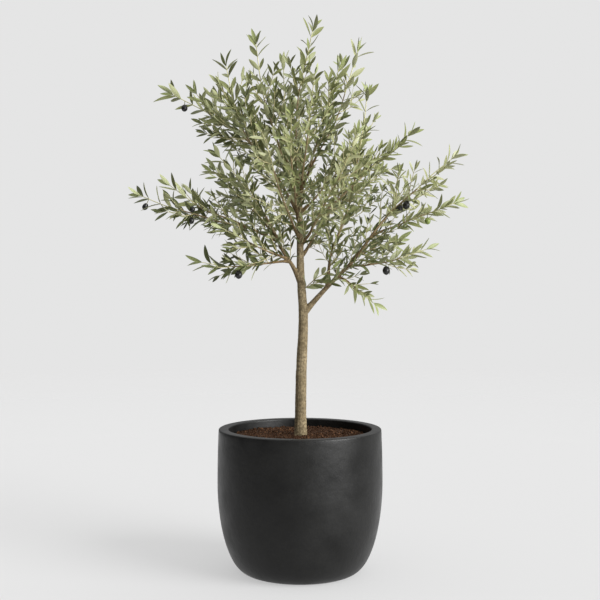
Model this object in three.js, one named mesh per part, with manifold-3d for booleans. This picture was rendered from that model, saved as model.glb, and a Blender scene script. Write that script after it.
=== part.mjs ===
// A young standard olive tree in a rounded planter, modelled in millimetres with +Z up.
// The origin is the centre of the planter's flat underside. The front faces -Y, so +X is on the right.
import * as THREE from "three";
import { mergeVertices } from "three/addons/utils/BufferGeometryUtils.js";
import Module from "manifold-3d";

const wasm = await Module();
wasm.setup();

// ---------- driving dimensions ----------

const clearance = 0.3; // between pieces that touch
const smallestEdge = 0.05; // joins and cuts leave nothing finer
const nearlyUpright = 0.98; // the sine of the rise beyond which a course counts as upright

const planterSize = {
  height: 345,
  rimRadius: 197,
  bellyRadius: 200, // the widest ring
  bellyHeight: 215,
  footRadius: 127, // the flat underside
  wall: 24,
  floor: 28,
  lipBevel: 3,
  shoulder: 0.6, // share of the way from the belly up to the rim where the wall starts to draw in
  lowerSteps: 6,
  upperSteps: 3,
  innerSteps: 3,
  sides: 32,
};

const soilSize = { level: 328, flatRadius: 45, fall: 4 };

const trunkSize = {
  height: 590, // from the soil to the fork
  footRadius: 14.2,
  forkRadius: 5.4,
  taperPower: 1.6, // it thins faster where the boughs leave it
  flare: 2,
  flareHeight: 22,
  sides: 12,
  steps: 12,
  // where the centre line runs: height above the soil, off the axis to the right, and to the back
  sway: [[0, 1, 0], [150, 3, -3], [290, 8, -1], [380, 2, 4], [480, 0, 3], [590, 0, 0]],
};

const boughShape = {
  sides: 6,
  steps: 3,
  waverPace: 1.3, // how many times a limb wavers along its length
  waverShift: 0.37, // from one bough to the next, as a share of one waver
};

const twigShape = {
  sides: 3,
  stemRadius: 2.3,
  sideRadius: 1.7,
  tipRadius: 1.1,
  stemSteps: 5,
  stemWaver: 3,
  waverShift: 0.61,
  sideSteps: 2,
  firstShare: 0.08, // where along the stem the side twigs start and stop
  lastShare: 0.8,
  lean: 46, // degrees between a side twig and the stem
  turnOnward: 137.5, // from one side twig round the stem to the next
  turnStray: 16,
  placeStray: [0.3, 0.7], // where a side twig leaves its own part of the stem
  lengthStray: [0.86, 1.1],
  otherSides: [0, 70, -70, 140, -140],
  followStem: 0.16, // how far each step bends towards the stem's course and towards the light
  followLight: 0.1,
  shortening: 0.45, // how much shorter the uppermost side twigs are
  shortest: 30,
};

const leafSize = {
  length: 62,
  width: 16,
  thickness: 2.2,
  widest: 0.42, // share of the length
  arch: 3, // how far the middle stands off the line from root to tip
  rootInset: 0.6, // how far the root runs past the twig's centre line
  splay: 42, // degrees between a leaf and its twig
  splayStray: 7,
  sizeStray: [0.86, 1.08],
  tipShare: 0.78, // size of the leaf that ends a twig
  testedShares: [0.2, 0.4, 0.6, 0.8, 1], // points along a leaf that have to be clear
};

const leafPairs = { gap: 62, bareStem: 12, bareTwig: 20, bareTip: 12, turnOnward: 90, turnStray: 12 };

const oliveSize = {
  length: 22,
  width: 17.5,
  stalk: 11,
  stalkRadius: 1.1,
  stalkSunk: 4, // how far the stalk runs into the fruit
  hang: -64, // degrees below level
};

const ownSpace = {
  limbGap: 1.5, // twigs and leaves stay this far from the trunk and the boughs
  neighbourGap: 2.4, // and this much nearer to their own stem than to any other
};

// ---------- the limbs ----------

// A bough leaves its parent at a share of the parent's length, along a turn (0 right, 90 back) and a rise
// above level, and eases to another turn and rise by its tip. Its foliage grows on from the tip, on a stem
// with side twigs up to the spread in length, the first of them at the roll round the stem. Olives hang at
// shares of the stem, to a turn.
const boughs = [
  { name: "right_bough", on: "trunk", at: 0.5, turn: -8, sweep: 4, rise: 46, riseEnd: 50,
    length: 262, radius: 6.4, tip: 3.4, waver: 5,
    foliage: { length: 240, sweep: -4, riseEnd: 36, spread: 100, twigs: 4, roll: 300,
      olives: [[0.42, 175], [0.48, -120]] } },
  { name: "right_middle_bough", on: "right_bough", at: 0.93, turn: 8, sweep: -4, rise: 34, riseEnd: 20,
    length: 52, radius: 2.8, tip: 2.3, waver: 3,
    foliage: { length: 154, sweep: -6, riseEnd: 22, spread: 64, twigs: 3, roll: 75,
      olives: [[0.64, -90]] } },
  { name: "right_low_bough", on: "right_bough", at: 0.6, turn: -24, sweep: 10, rise: -2, riseEnd: 8,
    length: 58, radius: 2.8, tip: 2.3, waver: 4,
    foliage: { length: 120, sweep: 8, riseEnd: 22, spread: 66, twigs: 2, roll: 45,
      olives: [[0.3, -90]] } },
  { name: "right_drooping_bough", on: "right_bough", at: 0.46, turn: -26, sweep: 10, rise: -6, riseEnd: -42,
    length: 34, radius: 2.4, tip: 2, waver: 3,
    foliage: { length: 60, sweep: 8, riseEnd: -40, spread: 44, twigs: 1, roll: 15 } },
  { name: "inner_right_bough", on: "right_bough", at: 0.33, turn: -50, sweep: 16, rise: 88, riseEnd: 66,
    length: 120, radius: 4, tip: 3, waver: 5,
    foliage: { length: 334, sweep: 20, riseEnd: 88, spread: 104, twigs: 4, roll: 345 } },
  { name: "left_bough", on: "trunk", at: 0.62, turn: 190, sweep: -4, rise: 60, riseEnd: 62,
    length: 140, radius: 5.6, tip: 3.4, waver: 4,
    foliage: { length: 214, sweep: -2, riseEnd: 46, spread: 104, twigs: 4, roll: 255 } },
  { name: "left_arm", on: "left_bough", at: 0.84, turn: 178, sweep: 4, rise: 32, riseEnd: 11,
    length: 108, radius: 3.4, tip: 2.7, waver: 4,
    foliage: { length: 224, sweep: 4, riseEnd: 22, spread: 58, twigs: 2, roll: 0,
      olives: [[0.5, -90], [0.98, 180]] } },
  { name: "left_arm_fork", on: "left_arm", at: 0.8, turn: 190, sweep: -8, rise: 34, riseEnd: 18,
    length: 56, radius: 2.6, tip: 2.2, waver: 3,
    foliage: { length: 135, sweep: -2, riseEnd: 42, spread: 52, twigs: 2, roll: 225,
      olives: [[0.63, -90]] } },
  { name: "left_low_bough", on: "left_bough", at: 0.44, turn: 206, sweep: -14, rise: 2, riseEnd: -12,
    length: 60, radius: 3, tip: 2.4, waver: 3,
    foliage: { length: 138, sweep: -8, riseEnd: 10, spread: 62, twigs: 2, roll: 45,
      olives: [[0.48, -90]] } },
  { name: "left_inner_bough", on: "left_bough", at: 0.5, turn: 226, sweep: -20, rise: 14, riseEnd: 20,
    length: 46, radius: 2.8, tip: 2.3, waver: 4,
    foliage: { length: 120, sweep: -16, riseEnd: 30, spread: 76, twigs: 3, roll: 105 } },
  { name: "left_back_bough", on: "left_bough", at: 0.92, turn: 130, sweep: 10, rise: 38, riseEnd: 40,
    length: 66, radius: 3, tip: 2.4, waver: 4,
    foliage: { length: 178, sweep: 10, riseEnd: 44, spread: 100, twigs: 3, roll: 150 } },
  { name: "upper_left_bough", on: "trunk", at: 0.89, turn: 182, sweep: -4, rise: 66, riseEnd: 54,
    length: 124, radius: 4.2, tip: 3, waver: 4,
    foliage: { length: 298, sweep: 2, riseEnd: 22, spread: 100, twigs: 4, roll: 112,
      olives: [[0.95, -90]] } },
  { name: "upper_left_fork", on: "upper_left_bough", at: 0.8, turn: 216, sweep: -14, rise: 60, riseEnd: 46,
    length: 60, radius: 2.8, tip: 2.3, waver: 4,
    foliage: { length: 232, sweep: -14, riseEnd: 86, spread: 98, twigs: 4, roll: 15 } },
  { name: "left_leader", on: "trunk", at: 0.94, turn: 204, sweep: -8, rise: 66, riseEnd: 68,
    length: 88, radius: 3.8, tip: 2.9, waver: 4,
    foliage: { length: 298, sweep: -10, riseEnd: 82, spread: 90, twigs: 4, roll: 285 } },
  { name: "left_leader_fork", on: "left_leader", at: 0.86, turn: 110, sweep: 0, rise: 66, riseEnd: 82,
    length: 66, radius: 2.7, tip: 2.3, waver: 4,
    foliage: { length: 194, sweep: 0, riseEnd: 88, spread: 72, twigs: 3, roll: 150 } },
  { name: "centre_leader", on: "trunk", at: 0.97, turn: 160, sweep: 0, rise: 76, riseEnd: 90,
    length: 92, radius: 3.8, tip: 2.9, waver: 3,
    foliage: { length: 302, sweep: 0, riseEnd: 106, spread: 84, twigs: 4, roll: 300 } },
  { name: "right_leader", on: "trunk", at: 0.985, turn: -28, sweep: 8, rise: 66, riseEnd: 70,
    length: 80, radius: 3.6, tip: 2.8, waver: 4,
    foliage: { length: 218, sweep: 8, riseEnd: 74, spread: 86, twigs: 3, roll: 75 } },
  { name: "right_leader_fork", on: "right_leader", at: 0.88, turn: 30, sweep: -8, rise: 58, riseEnd: 60,
    length: 64, radius: 2.7, tip: 2.3, waver: 4,
    foliage: { length: 234, sweep: -8, riseEnd: 78, spread: 64, twigs: 3, roll: 165 } },
  { name: "upper_right_bough", on: "trunk", at: 0.91, turn: -10, sweep: -6, rise: 40, riseEnd: 46,
    length: 48, radius: 3.2, tip: 2.6, waver: 4,
    foliage: { length: 164, sweep: -4, riseEnd: 52, spread: 88, twigs: 3, roll: 0 } },
  { name: "right_high_bough", on: "trunk", at: 0.83, turn: 20, sweep: -6, rise: 36, riseEnd: 42,
    length: 84, radius: 4, tip: 2.8, waver: 5,
    foliage: { length: 270, sweep: -10, riseEnd: 42, spread: 88, twigs: 4, roll: 315 } },
  { name: "front_bough", on: "trunk", at: 0.865, turn: -104, sweep: 8, rise: 40, riseEnd: 40,
    length: 72, radius: 4, tip: 2.9, waver: 5,
    foliage: { length: 266, sweep: 6, riseEnd: 38, spread: 100, twigs: 4, roll: 220 } },
  { name: "front_right_bough", on: "trunk", at: 0.775, turn: -46, sweep: -6, rise: 38, riseEnd: 46,
    length: 62, radius: 4, tip: 2.9, waver: 5,
    foliage: { length: 258, sweep: -8, riseEnd: 50, spread: 106, twigs: 4, roll: 267 } },
  { name: "front_left_bough", on: "trunk", at: 0.8, turn: 240, sweep: 6, rise: 44, riseEnd: 46,
    length: 66, radius: 4, tip: 2.9, waver: 5,
    foliage: { length: 246, sweep: 6, riseEnd: 48, spread: 104, twigs: 3, roll: 314 } },
  { name: "front_high_bough", on: "trunk", at: 0.955, turn: -84, sweep: 6, rise: 54, riseEnd: 60,
    length: 66, radius: 3.5, tip: 2.7, waver: 4,
    foliage: { length: 240, sweep: 0, riseEnd: 58, spread: 90, twigs: 3, roll: 1 } },
  { name: "back_bough", on: "trunk", at: 0.81, turn: 88, sweep: 8, rise: 36, riseEnd: 40,
    length: 74, radius: 4.2, tip: 3, waver: 5,
    foliage: { length: 300, sweep: 6, riseEnd: 38, spread: 106, twigs: 4, roll: 48 } },
  { name: "back_right_bough", on: "trunk", at: 0.73, turn: 52, sweep: 4, rise: 38, riseEnd: 46,
    length: 72, radius: 4.3, tip: 3, waver: 5,
    foliage: { length: 286, sweep: -6, riseEnd: 44, spread: 106, twigs: 4, roll: 95 } },
  { name: "back_high_bough", on: "trunk", at: 0.9, turn: 98, sweep: -8, rise: 56, riseEnd: 60,
    length: 70, radius: 3.6, tip: 2.8, waver: 4,
    foliage: { length: 252, sweep: 0, riseEnd: 58, spread: 90, twigs: 3, roll: 142 } },
];

// A sprig is a small mass that grows straight from the side of a limb.
const sprigs = [
  { name: "trunk_sprig", on: "trunk", at: 0.59, turn: -24, rise: 44,
    foliage: { length: 78, sweep: 10, riseEnd: 30, spread: 40, twigs: 1, roll: 255 } },
  { name: "right_sprig", on: "right_bough", at: 0.7, turn: 4, rise: 34,
    foliage: { length: 96, sweep: 0, riseEnd: 14, spread: 60, twigs: 3, roll: 240 } },
];

// ---------- materials ----------

const planterFinish = new THREE.MeshStandardMaterial({ name: "planter", color: 0x303030, roughness: 0.7 });
const soilFinish = new THREE.MeshStandardMaterial({ name: "soil", color: 0x4a2e22, roughness: 1 });
const trunkBark = new THREE.MeshStandardMaterial({ name: "trunk_bark", color: 0x75695a, roughness: 0.9 });
const boughBark = new THREE.MeshStandardMaterial({ name: "bough_bark", color: 0x6f5c48, roughness: 0.85 });
const leafGreen = new THREE.MeshStandardMaterial({ name: "leaf_green", color: 0x6a7556, roughness: 0.6 });

// ---------- small tools ----------

const up = new THREE.Vector3(0, 0, 1);
const right = new THREE.Vector3(1, 0, 0);
const lerp = THREE.MathUtils.lerp;
const radians = THREE.MathUtils.degToRad;

// A repeatable run of numbers between two bounds, from a multiplying generator.
function makeDraw(seed) {
  const modulus = 2 ** 31 - 1;
  const multiplier = 16807;
  const seedSpacing = 7919;
  const firstSeed = 104729;
  let state = seed * seedSpacing + firstSeed;
  return (low, high) => {
    state = (state * multiplier) % modulus;
    return lerp(low, high, state / modulus);
  };
}

function heading(turn, rise) {
  const level = Math.cos(radians(rise));
  return new THREE.Vector3(
    level * Math.cos(radians(turn)),
    level * Math.sin(radians(turn)),
    Math.sin(radians(rise)),
  );
}

// Two directions square to a course: one level, except where it is nearly upright, and one across both.
function squareTo(along) {
  const isUpright = Math.abs(along.z) > nearlyUpright;
  const level = new THREE.Vector3().crossVectors(along, isUpright ? right : up).normalize();
  return [level, new THREE.Vector3().crossVectors(level, along)];
}

// The direction square to a course at a roll round it, in degrees.
function outwardsFrom(along, roll) {
  const [level, across] = squareTo(along);
  return level.multiplyScalar(Math.cos(radians(roll))).addScaledVector(across, Math.sin(radians(roll)));
}

function stepAt(path, share) {
  return Math.min(Math.floor(share * (path.length - 1)), path.length - 2);
}

function pointAt(path, share) {
  const step = stepAt(path, share);
  return path[step].clone().lerp(path[step + 1], share * (path.length - 1) - step);
}

function courseAt(path, share) {
  const step = stepAt(path, share);
  return path[step + 1].clone().sub(path[step]).normalize();
}

function pathLength(path) {
  return path.slice(1).reduce((sum, point, i) => sum + point.distanceTo(path[i]), 0);
}

// How far a point is from a path, and the share of the path where it is nearest.
function distanceToPath(point, path) {
  const nearest = new THREE.Vector3();
  let least = Infinity;
  let share = 0;
  for (let i = 0; i + 1 < path.length; i += 1) {
    const line = new THREE.Line3(path[i], path[i + 1]);
    const along = line.closestPointToPointParameter(point, true);
    const distance = line.at(along, nearest).distanceTo(point);
    if (distance < least) {
      least = distance;
      share = (i + along) / (path.length - 1);
    }
  }
  return { distance: least, share };
}

// ---------- solids ----------

function toSolid(geometry) {
  const bare = geometry.clone();
  bare.deleteAttribute("normal");
  bare.deleteAttribute("uv");
  const merged = mergeVertices(bare, 1e-4);
  return new wasm.Manifold(new wasm.Mesh({
    numProp: 3,
    vertProperties: merged.getAttribute("position").array,
    triVerts: new Uint32Array(merged.index.array),
  }));
}

function toGeometry(solid) {
  const { vertProperties, triVerts } = solid.getMesh();
  const geometry = new THREE.BufferGeometry();
  geometry.setAttribute("position", new THREE.BufferAttribute(vertProperties, 3));
  geometry.setIndex(new THREE.BufferAttribute(triVerts, 1));
  const facetted = geometry.toNonIndexed();
  facetted.computeVertexNormals();
  return facetted;
}

function largestPiece(solid) {
  const pieces = solid.simplify(smallestEdge).decompose();
  return pieces.reduce((best, piece) => (piece.volume() > best.volume() ? piece : best));
}

// A cylinder bent and tapered onto a path, with one ring at each of its points, each square to the path
// except where the foot is level.
function limbGeometry({ path, radii, sides, levelFoot = false }) {
  const geometry = new THREE.CylinderGeometry(1, 1, 1, sides, path.length - 1);
  const rings = [];
  let side = squareTo(courseAt(path, 0))[0];
  path.forEach((point, i) => {
    const before = path[Math.max(i - 1, 0)];
    const after = path[Math.min(i + 1, path.length - 1)];
    const along = levelFoot && i === 0 ? up.clone() : after.clone().sub(before).normalize();
    side = side.clone().addScaledVector(along, -side.dot(along)).normalize();
    rings.push({ point, side, across: new THREE.Vector3().crossVectors(side, along), radius: radii[i] });
  });
  const corners = geometry.getAttribute("position");
  for (let i = 0; i < corners.count; i += 1) {
    const ring = rings[Math.round((corners.getY(i) + 0.5) * (path.length - 1))];
    const place = ring.point.clone()
      .addScaledVector(ring.side, corners.getX(i) * ring.radius)
      .addScaledVector(ring.across, corners.getZ(i) * ring.radius);
    corners.setXYZ(i, place.x, place.y, place.z);
  }
  return geometry;
}

// The same limb grown by the clearance all round and at both ends, to cut its neighbours with.
function clearOf({ path, radii, sides, levelFoot }) {
  const longer = path.map((point) => point.clone());
  longer[0].addScaledVector(courseAt(path, 0), -clearance);
  longer[path.length - 1].addScaledVector(courseAt(path, 1), clearance);
  return toSolid(limbGeometry({
    path: longer, radii: radii.map((radius) => radius + clearance), sides, levelFoot,
  }));
}

// ---------- planter and soil ----------

// From the flat foot up a quarter ellipse to the belly, then gently in to the lip.
function planterGeometry() {
  const { height, rimRadius, bellyRadius, bellyHeight, footRadius, wall, floor, lipBevel } = planterSize;
  const { shoulder, lowerSteps, upperSteps } = planterSize;
  const lower = new THREE.EllipseCurve(
    footRadius, bellyHeight, bellyRadius - footRadius, bellyHeight, -Math.PI / 2, 0,
  );
  const upper = new THREE.QuadraticBezierCurve(
    new THREE.Vector2(bellyRadius, bellyHeight),
    new THREE.Vector2(bellyRadius, lerp(bellyHeight, height, shoulder)),
    new THREE.Vector2(rimRadius, height - lipBevel),
  );
  const lipInside = rimRadius - wall + lipBevel;
  const profile = [
    new THREE.Vector2(0, 0),
    ...lower.getPoints(lowerSteps),
    ...upper.getPoints(upperSteps).slice(1),
    new THREE.Vector2(rimRadius - lipBevel, height),
    new THREE.Vector2(lipInside, height),
    ...innerProfile(0),
    new THREE.Vector2(0, floor),
  ];
  return turned(profile);
}

// The inside wall, from the lip down to the floor, drawn in by a gap.
function innerProfile(gap) {
  const { height, rimRadius, bellyRadius, bellyHeight, footRadius, wall, floor, lipBevel } = planterSize;
  const inside = new THREE.EllipseCurve(
    footRadius - wall / 2, bellyHeight,
    bellyRadius - footRadius - wall / 2 - gap, bellyHeight - floor - gap,
    0, -Math.PI / 2, true,
  );
  return [
    new THREE.Vector2(rimRadius - wall - gap, height - lipBevel),
    ...inside.getPoints(planterSize.innerSteps),
  ];
}

function soilGeometry() {
  const { level, flatRadius, fall } = soilSize;
  const [lip, belly, ...below] = innerProfile(clearance);
  const share = (level - fall - belly.y) / (lip.y - belly.y);
  const profile = [
    ...[lip.clone().lerp(belly, 1 - share), belly, ...below].reverse(),
    new THREE.Vector2(flatRadius, level),
    new THREE.Vector2(0, level),
  ];
  profile.unshift(new THREE.Vector2(0, planterSize.floor + clearance));
  return turned(profile);
}

function turned(profile) {
  return new THREE.LatheGeometry(profile, planterSize.sides).rotateX(Math.PI / 2);
}

// ---------- trunk and boughs ----------

function trunkLimb() {
  const { height, footRadius, forkRadius, taperPower, flare, flareHeight, sides, steps, sway } = trunkSize;
  const centreLine = new THREE.CatmullRomCurve3(sway.map(([rise, x, y]) => new THREE.Vector3(x, y, rise)));
  const path = centreLine.getSpacedPoints(steps);
  const radii = path.map(({ z }) => {
    const taper = lerp(footRadius, forkRadius, (z / height) ** taperPower);
    return taper + flare * Math.max(0, 1 - z / flareHeight) ** 2;
  });
  return { path, radii, sides, levelFoot: true };
}

// A course that eases from one turn and rise to another, wavering a little on the way.
function coursePath(start, { turn, sweep = 0, rise, riseEnd, length, waver = 0 }, steps, phase) {
  const path = [start.clone()];
  for (let i = 0; i < steps; i += 1) {
    const share = (i + 0.5) / steps;
    const wave = 2 * Math.PI * (boughShape.waverPace * share + phase);
    const direction = heading(
      turn + sweep * share + waver * Math.sin(wave),
      lerp(rise, riseEnd, share) + waver * Math.cos(wave),
    );
    path.push(path[i].clone().addScaledVector(direction, length / steps));
  }
  return path;
}

function boughLimb(bough, parent, phase) {
  const { sides, steps } = boughShape;
  const path = coursePath(pointAt(parent.path, bough.at), bough, steps, phase);
  const radii = path.map((_, i) => lerp(bough.radius, bough.tip, i / steps));
  return { path, radii, sides };
}

// ---------- foliage ----------

// A mass's stem carries on from its bough's tip, or starts inside the limb for a sprig.
function stemOf(plan, limb, phase) {
  const { foliage } = plan;
  const start = limb
    ? limb.path.at(-1).clone().addScaledVector(courseAt(limb.path, 1), clearance)
    : pointAt(limbs.get(plan.on).path, plan.at);
  const course = {
    ...foliage,
    turn: plan.turn + (plan.sweep ?? 0),
    rise: plan.riseEnd ?? plan.rise,
    waver: twigShape.stemWaver,
  };
  return coursePath(start, course, twigShape.stemSteps, phase);
}

// True where a point is clear of every limb and nearer to its own stem than to any other.
function isInOwnSpace(point, ownStem) {
  const own = distanceToPath(point, ownStem).distance;
  for (const { path, radii } of limbs.values()) {
    const { distance, share } = distanceToPath(point, path);
    const radius = radii[Math.round(share * (radii.length - 1))];
    if (distance < radius + ownSpace.limbGap) return false;
  }
  const others = [...stems.values()].filter((stem) => stem !== ownStem);
  return others.every((stem) => distanceToPath(point, stem).distance > own + ownSpace.neighbourGap);
}

// A side twig leaves the stem at a lean and bends back along it and up to the light.
// It stops where it would leave its mass's own space.
function sideTwigPath(stem, share, roll, length) {
  const along = courseAt(stem, share);
  const lean = radians(twigShape.lean);
  const direction = along.clone().multiplyScalar(Math.cos(lean))
    .addScaledVector(outwardsFrom(along, roll), Math.sin(lean));
  const path = [pointAt(stem, share)];
  for (let i = 0; i < twigShape.sideSteps; i += 1) {
    const next = path[i].clone().addScaledVector(direction, length / twigShape.sideSteps);
    if (!isInOwnSpace(next, stem)) break;
    path.push(next);
    direction.addScaledVector(along, twigShape.followStem).addScaledVector(up, twigShape.followLight);
    direction.normalize();
  }
  return path;
}

// The twig takes the side with the most room, starting from the one that is its turn.
function openSideTwig(stem, share, roll, length) {
  const tried = twigShape.otherSides.map((turn) => sideTwigPath(stem, share, roll + turn, length));
  return tried.reduce((best, path) => (pathLength(path) > pathLength(best) + 1 ? path : best));
}

// A three-sided bead drawn out into a leaf: root, tip, two edges, and a keel under the midrib.
function leafGeometry({ root, direction, faceUp, size }) {
  const { widest, width, thickness, arch, rootInset } = leafSize;
  const length = leafSize.length * size;
  const beadDepth = 1.5; // from one corner of the bead to the side across from it
  const across = new THREE.Vector3().crossVectors(faceUp, direction).normalize();
  const geometry = new THREE.SphereGeometry(1, 3, 2);
  const corners = geometry.getAttribute("position");
  for (let i = 0; i < corners.count; i += 1) {
    const lengthwise = Math.round(corners.getY(i));
    const reach = lengthwise === 0 ? widest * length : Math.max(lengthwise * length, -rootInset);
    const height = lengthwise === 0 ? arch * size + corners.getX(i) * thickness / beadDepth : 0;
    const place = root.clone()
      .addScaledVector(direction, reach)
      .addScaledVector(across, Math.sign(Math.round(corners.getZ(i))) * width * size / 2)
      .addScaledVector(faceUp, height);
    corners.setXYZ(i, place.x, place.y, place.z);
  }
  return geometry;
}

function leafFits({ root, direction, faceUp, size }, ownStem) {
  const { length, width, widest, testedShares } = leafSize;
  const across = new THREE.Vector3().crossVectors(faceUp, direction).normalize();
  const along = (share) => root.clone().addScaledVector(direction, share * length * size);
  const midrib = testedShares.map(along);
  const edges = [-width / 2, width / 2].map((half) => along(widest).addScaledVector(across, half * size));
  return [...midrib, ...edges].every((point) => isInOwnSpace(point, ownStem));
}

// Opposite pairs, each about a quarter turn on from the last, and one leaf at the tip.
function leavesAlong(path, bareLength, ownStem, draw) {
  const { splayStray, sizeStray, tipShare } = leafSize;
  const { gap, bareTip, turnOnward, turnStray } = leafPairs;
  const length = pathLength(path);
  const leaves = [];
  const addLeaf = (share, outwards, size) => {
    const along = courseAt(path, share);
    const splay = radians(outwards ? leafSize.splay + draw(-splayStray, splayStray) : 0);
    const side = outwards ?? squareTo(along)[0];
    const direction = along.clone().multiplyScalar(Math.cos(splay)).addScaledVector(side, Math.sin(splay));
    const faceUp = along.clone().multiplyScalar(Math.sin(splay)).addScaledVector(side, -Math.cos(splay));
    // one that would leave the mass's own space is tried smaller, and then left out
    const tried = [size, size * tipShare].map((triedSize) => ({
      root: pointAt(path, share), direction, faceUp, size: triedSize,
    }));
    const leaf = tried.find((shape) => leafFits(shape, ownStem));
    if (leaf) leaves.push(toSolid(leafGeometry(leaf)));
  };
  let roll = draw(0, turnOnward);
  for (let place = bareLength; place < length - bareTip; place += gap) {
    const share = place / length;
    const outwards = outwardsFrom(courseAt(path, share), roll);
    addLeaf(share, outwards, draw(...sizeStray));
    addLeaf(share, outwards.clone().negate(), draw(...sizeStray));
    roll += turnOnward + draw(-turnStray, turnStray);
  }
  addLeaf(1, null, tipShare);
  return leaves;
}

// An olive hangs below its twig on a short stalk, a little to one side.
function oliveSolids(root, turn) {
  const { length, width, stalk, stalkRadius, stalkSunk, hang } = oliveSize;
  const down = heading(turn, hang);
  const stalkEnd = root.clone().addScaledVector(down, stalk + stalkSunk);
  const fruit = new THREE.IcosahedronGeometry(1).scale(width / 2, width / 2, length / 2);
  fruit.applyQuaternion(new THREE.Quaternion().setFromUnitVectors(up, down));
  const centre = root.clone().addScaledVector(down, stalk + length / 2);
  fruit.translate(centre.x, centre.y, centre.z);
  const stem = { path: [root, stalkEnd], radii: [stalkRadius, stalkRadius], sides: twigShape.sides };
  return [toSolid(limbGeometry(stem)), toSolid(fruit)];
}

function taperedTwig(path, radius) {
  const radii = path.map((_, i) => lerp(radius, twigShape.tipRadius, i / (path.length - 1)));
  return toSolid(limbGeometry({ path, radii, sides: twigShape.sides }));
}

// Each side twig starts from its own part of the stem, and goes on round it from the first one's roll.
function sideTwigs({ twigs, spread, roll }, stem, draw) {
  const { firstShare, lastShare, placeStray, lengthStray, shortening, turnOnward, turnStray } = twigShape;
  return Array.from({ length: twigs }, (_, i) => {
    const share = lerp(firstShare, lastShare, (i + draw(...placeStray)) / twigs);
    const length = spread * (1 - shortening * share) * draw(...lengthStray);
    return openSideTwig(stem, share, roll + i * turnOnward + draw(-turnStray, turnStray), length);
  }).filter((path) => pathLength(path) > twigShape.shortest);
}

function foliageSolid({ foliage, on, path: stem, startsInLimb }, seed) {
  const draw = makeDraw(seed);
  const bareStem = leafPairs.bareStem + (startsInLimb ? trunkSize.footRadius : 0);
  const twigs = sideTwigs(foliage, stem, draw);
  const pieces = [
    taperedTwig(stem, twigShape.stemRadius),
    ...leavesAlong(stem, bareStem, stem, draw),
    ...twigs.map((path) => taperedTwig(path, twigShape.sideRadius)),
    ...twigs.flatMap((path) => leavesAlong(path, leafPairs.bareTwig, stem, draw)),
    ...(foliage.olives ?? []).flatMap(([share, turn]) => oliveSolids(pointAt(stem, share), turn)),
  ];
  const fused = wasm.Manifold.union(pieces);
  return largestPiece(startsInLimb ? fused.subtract(clearOf(limbs.get(on))) : fused);
}

// ---------- assembly ----------

const limbs = new Map([["trunk", trunkLimb()]]);
boughs.forEach((bough, i) => {
  limbs.set(bough.name, boughLimb(bough, limbs.get(bough.on), i * boughShape.waverShift));
});

const masses = [...boughs, ...sprigs].map((plan, i) => {
  const path = stemOf(plan, limbs.get(plan.name), i * twigShape.waverShift);
  const name = `${plan.name.replace("_bough", "")}_foliage`;
  return { ...plan, name, path, startsInLimb: !limbs.has(plan.name) };
});
const stems = new Map(masses.map(({ name, path }) => [name, path]));

function addMesh(group, name, geometry, material) {
  const mesh = new THREE.Mesh(geometry, material);
  mesh.name = name;
  group.add(mesh);
}

const tree = new THREE.Group();
tree.position.z = soilSize.level + clearance;
addMesh(tree, "trunk", limbGeometry(limbs.get("trunk")), trunkBark);
for (const bough of boughs) {
  const whole = toSolid(limbGeometry(limbs.get(bough.name)));
  const seated = largestPiece(whole.subtract(clearOf(limbs.get(bough.on))));
  addMesh(tree, bough.name, toGeometry(seated), boughBark);
}
masses.forEach((mass, i) => addMesh(tree, mass.name, toGeometry(foliageSolid(mass, i + 1)), leafGreen));

const pottedOlive = new THREE.Group();
addMesh(pottedOlive, "planter", planterGeometry(), planterFinish);
addMesh(pottedOlive, "soil", soilGeometry(), soilFinish);
pottedOlive.add(tree);

export default pottedOlive;
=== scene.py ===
import math

import bmesh
import bpy
import numpy as np
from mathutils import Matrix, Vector, noise


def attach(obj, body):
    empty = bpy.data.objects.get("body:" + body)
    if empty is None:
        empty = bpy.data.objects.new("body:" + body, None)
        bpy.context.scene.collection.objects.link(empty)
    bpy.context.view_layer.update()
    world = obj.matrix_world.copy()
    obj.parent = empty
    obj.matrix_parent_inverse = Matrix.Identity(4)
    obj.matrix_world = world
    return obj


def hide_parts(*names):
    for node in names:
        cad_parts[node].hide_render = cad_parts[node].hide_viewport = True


# A young standard olive tree in a rounded charcoal planter. Sizes are in millimetres, turned to metres
# where a mesh is made. The front faces -Y, so +X is the right-hand side.
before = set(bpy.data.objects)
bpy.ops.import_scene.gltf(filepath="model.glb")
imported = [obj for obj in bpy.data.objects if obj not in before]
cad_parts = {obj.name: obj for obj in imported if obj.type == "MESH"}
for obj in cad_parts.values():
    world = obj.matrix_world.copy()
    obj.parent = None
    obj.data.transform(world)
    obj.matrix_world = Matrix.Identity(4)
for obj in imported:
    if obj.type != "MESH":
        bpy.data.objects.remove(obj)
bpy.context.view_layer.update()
mm = 0.001


# the limbs and where the foliage grows

trunkPlan = {
    "foot": 328.3,  # above the planter's underside
    "height": 590,
    "footRadius": 14.2,
    "forkRadius": 5.4,
    "taperPower": 1.6,
    "flare": 2,
    "flareHeight": 22,
    "steps": 12,
    "fineSteps": 40,  # between two places of the sway
    # height above the soil, off the axis to the right, and to the back
    "sway": [(0, 1, 0), (150, 3, -3), (290, 8, -1), (380, 2, 4), (480, 0, 3), (590, 0, 0)],
}

boughCourse = {"steps": 3, "waverPace": 1.3, "waverShift": 0.37}

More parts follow.
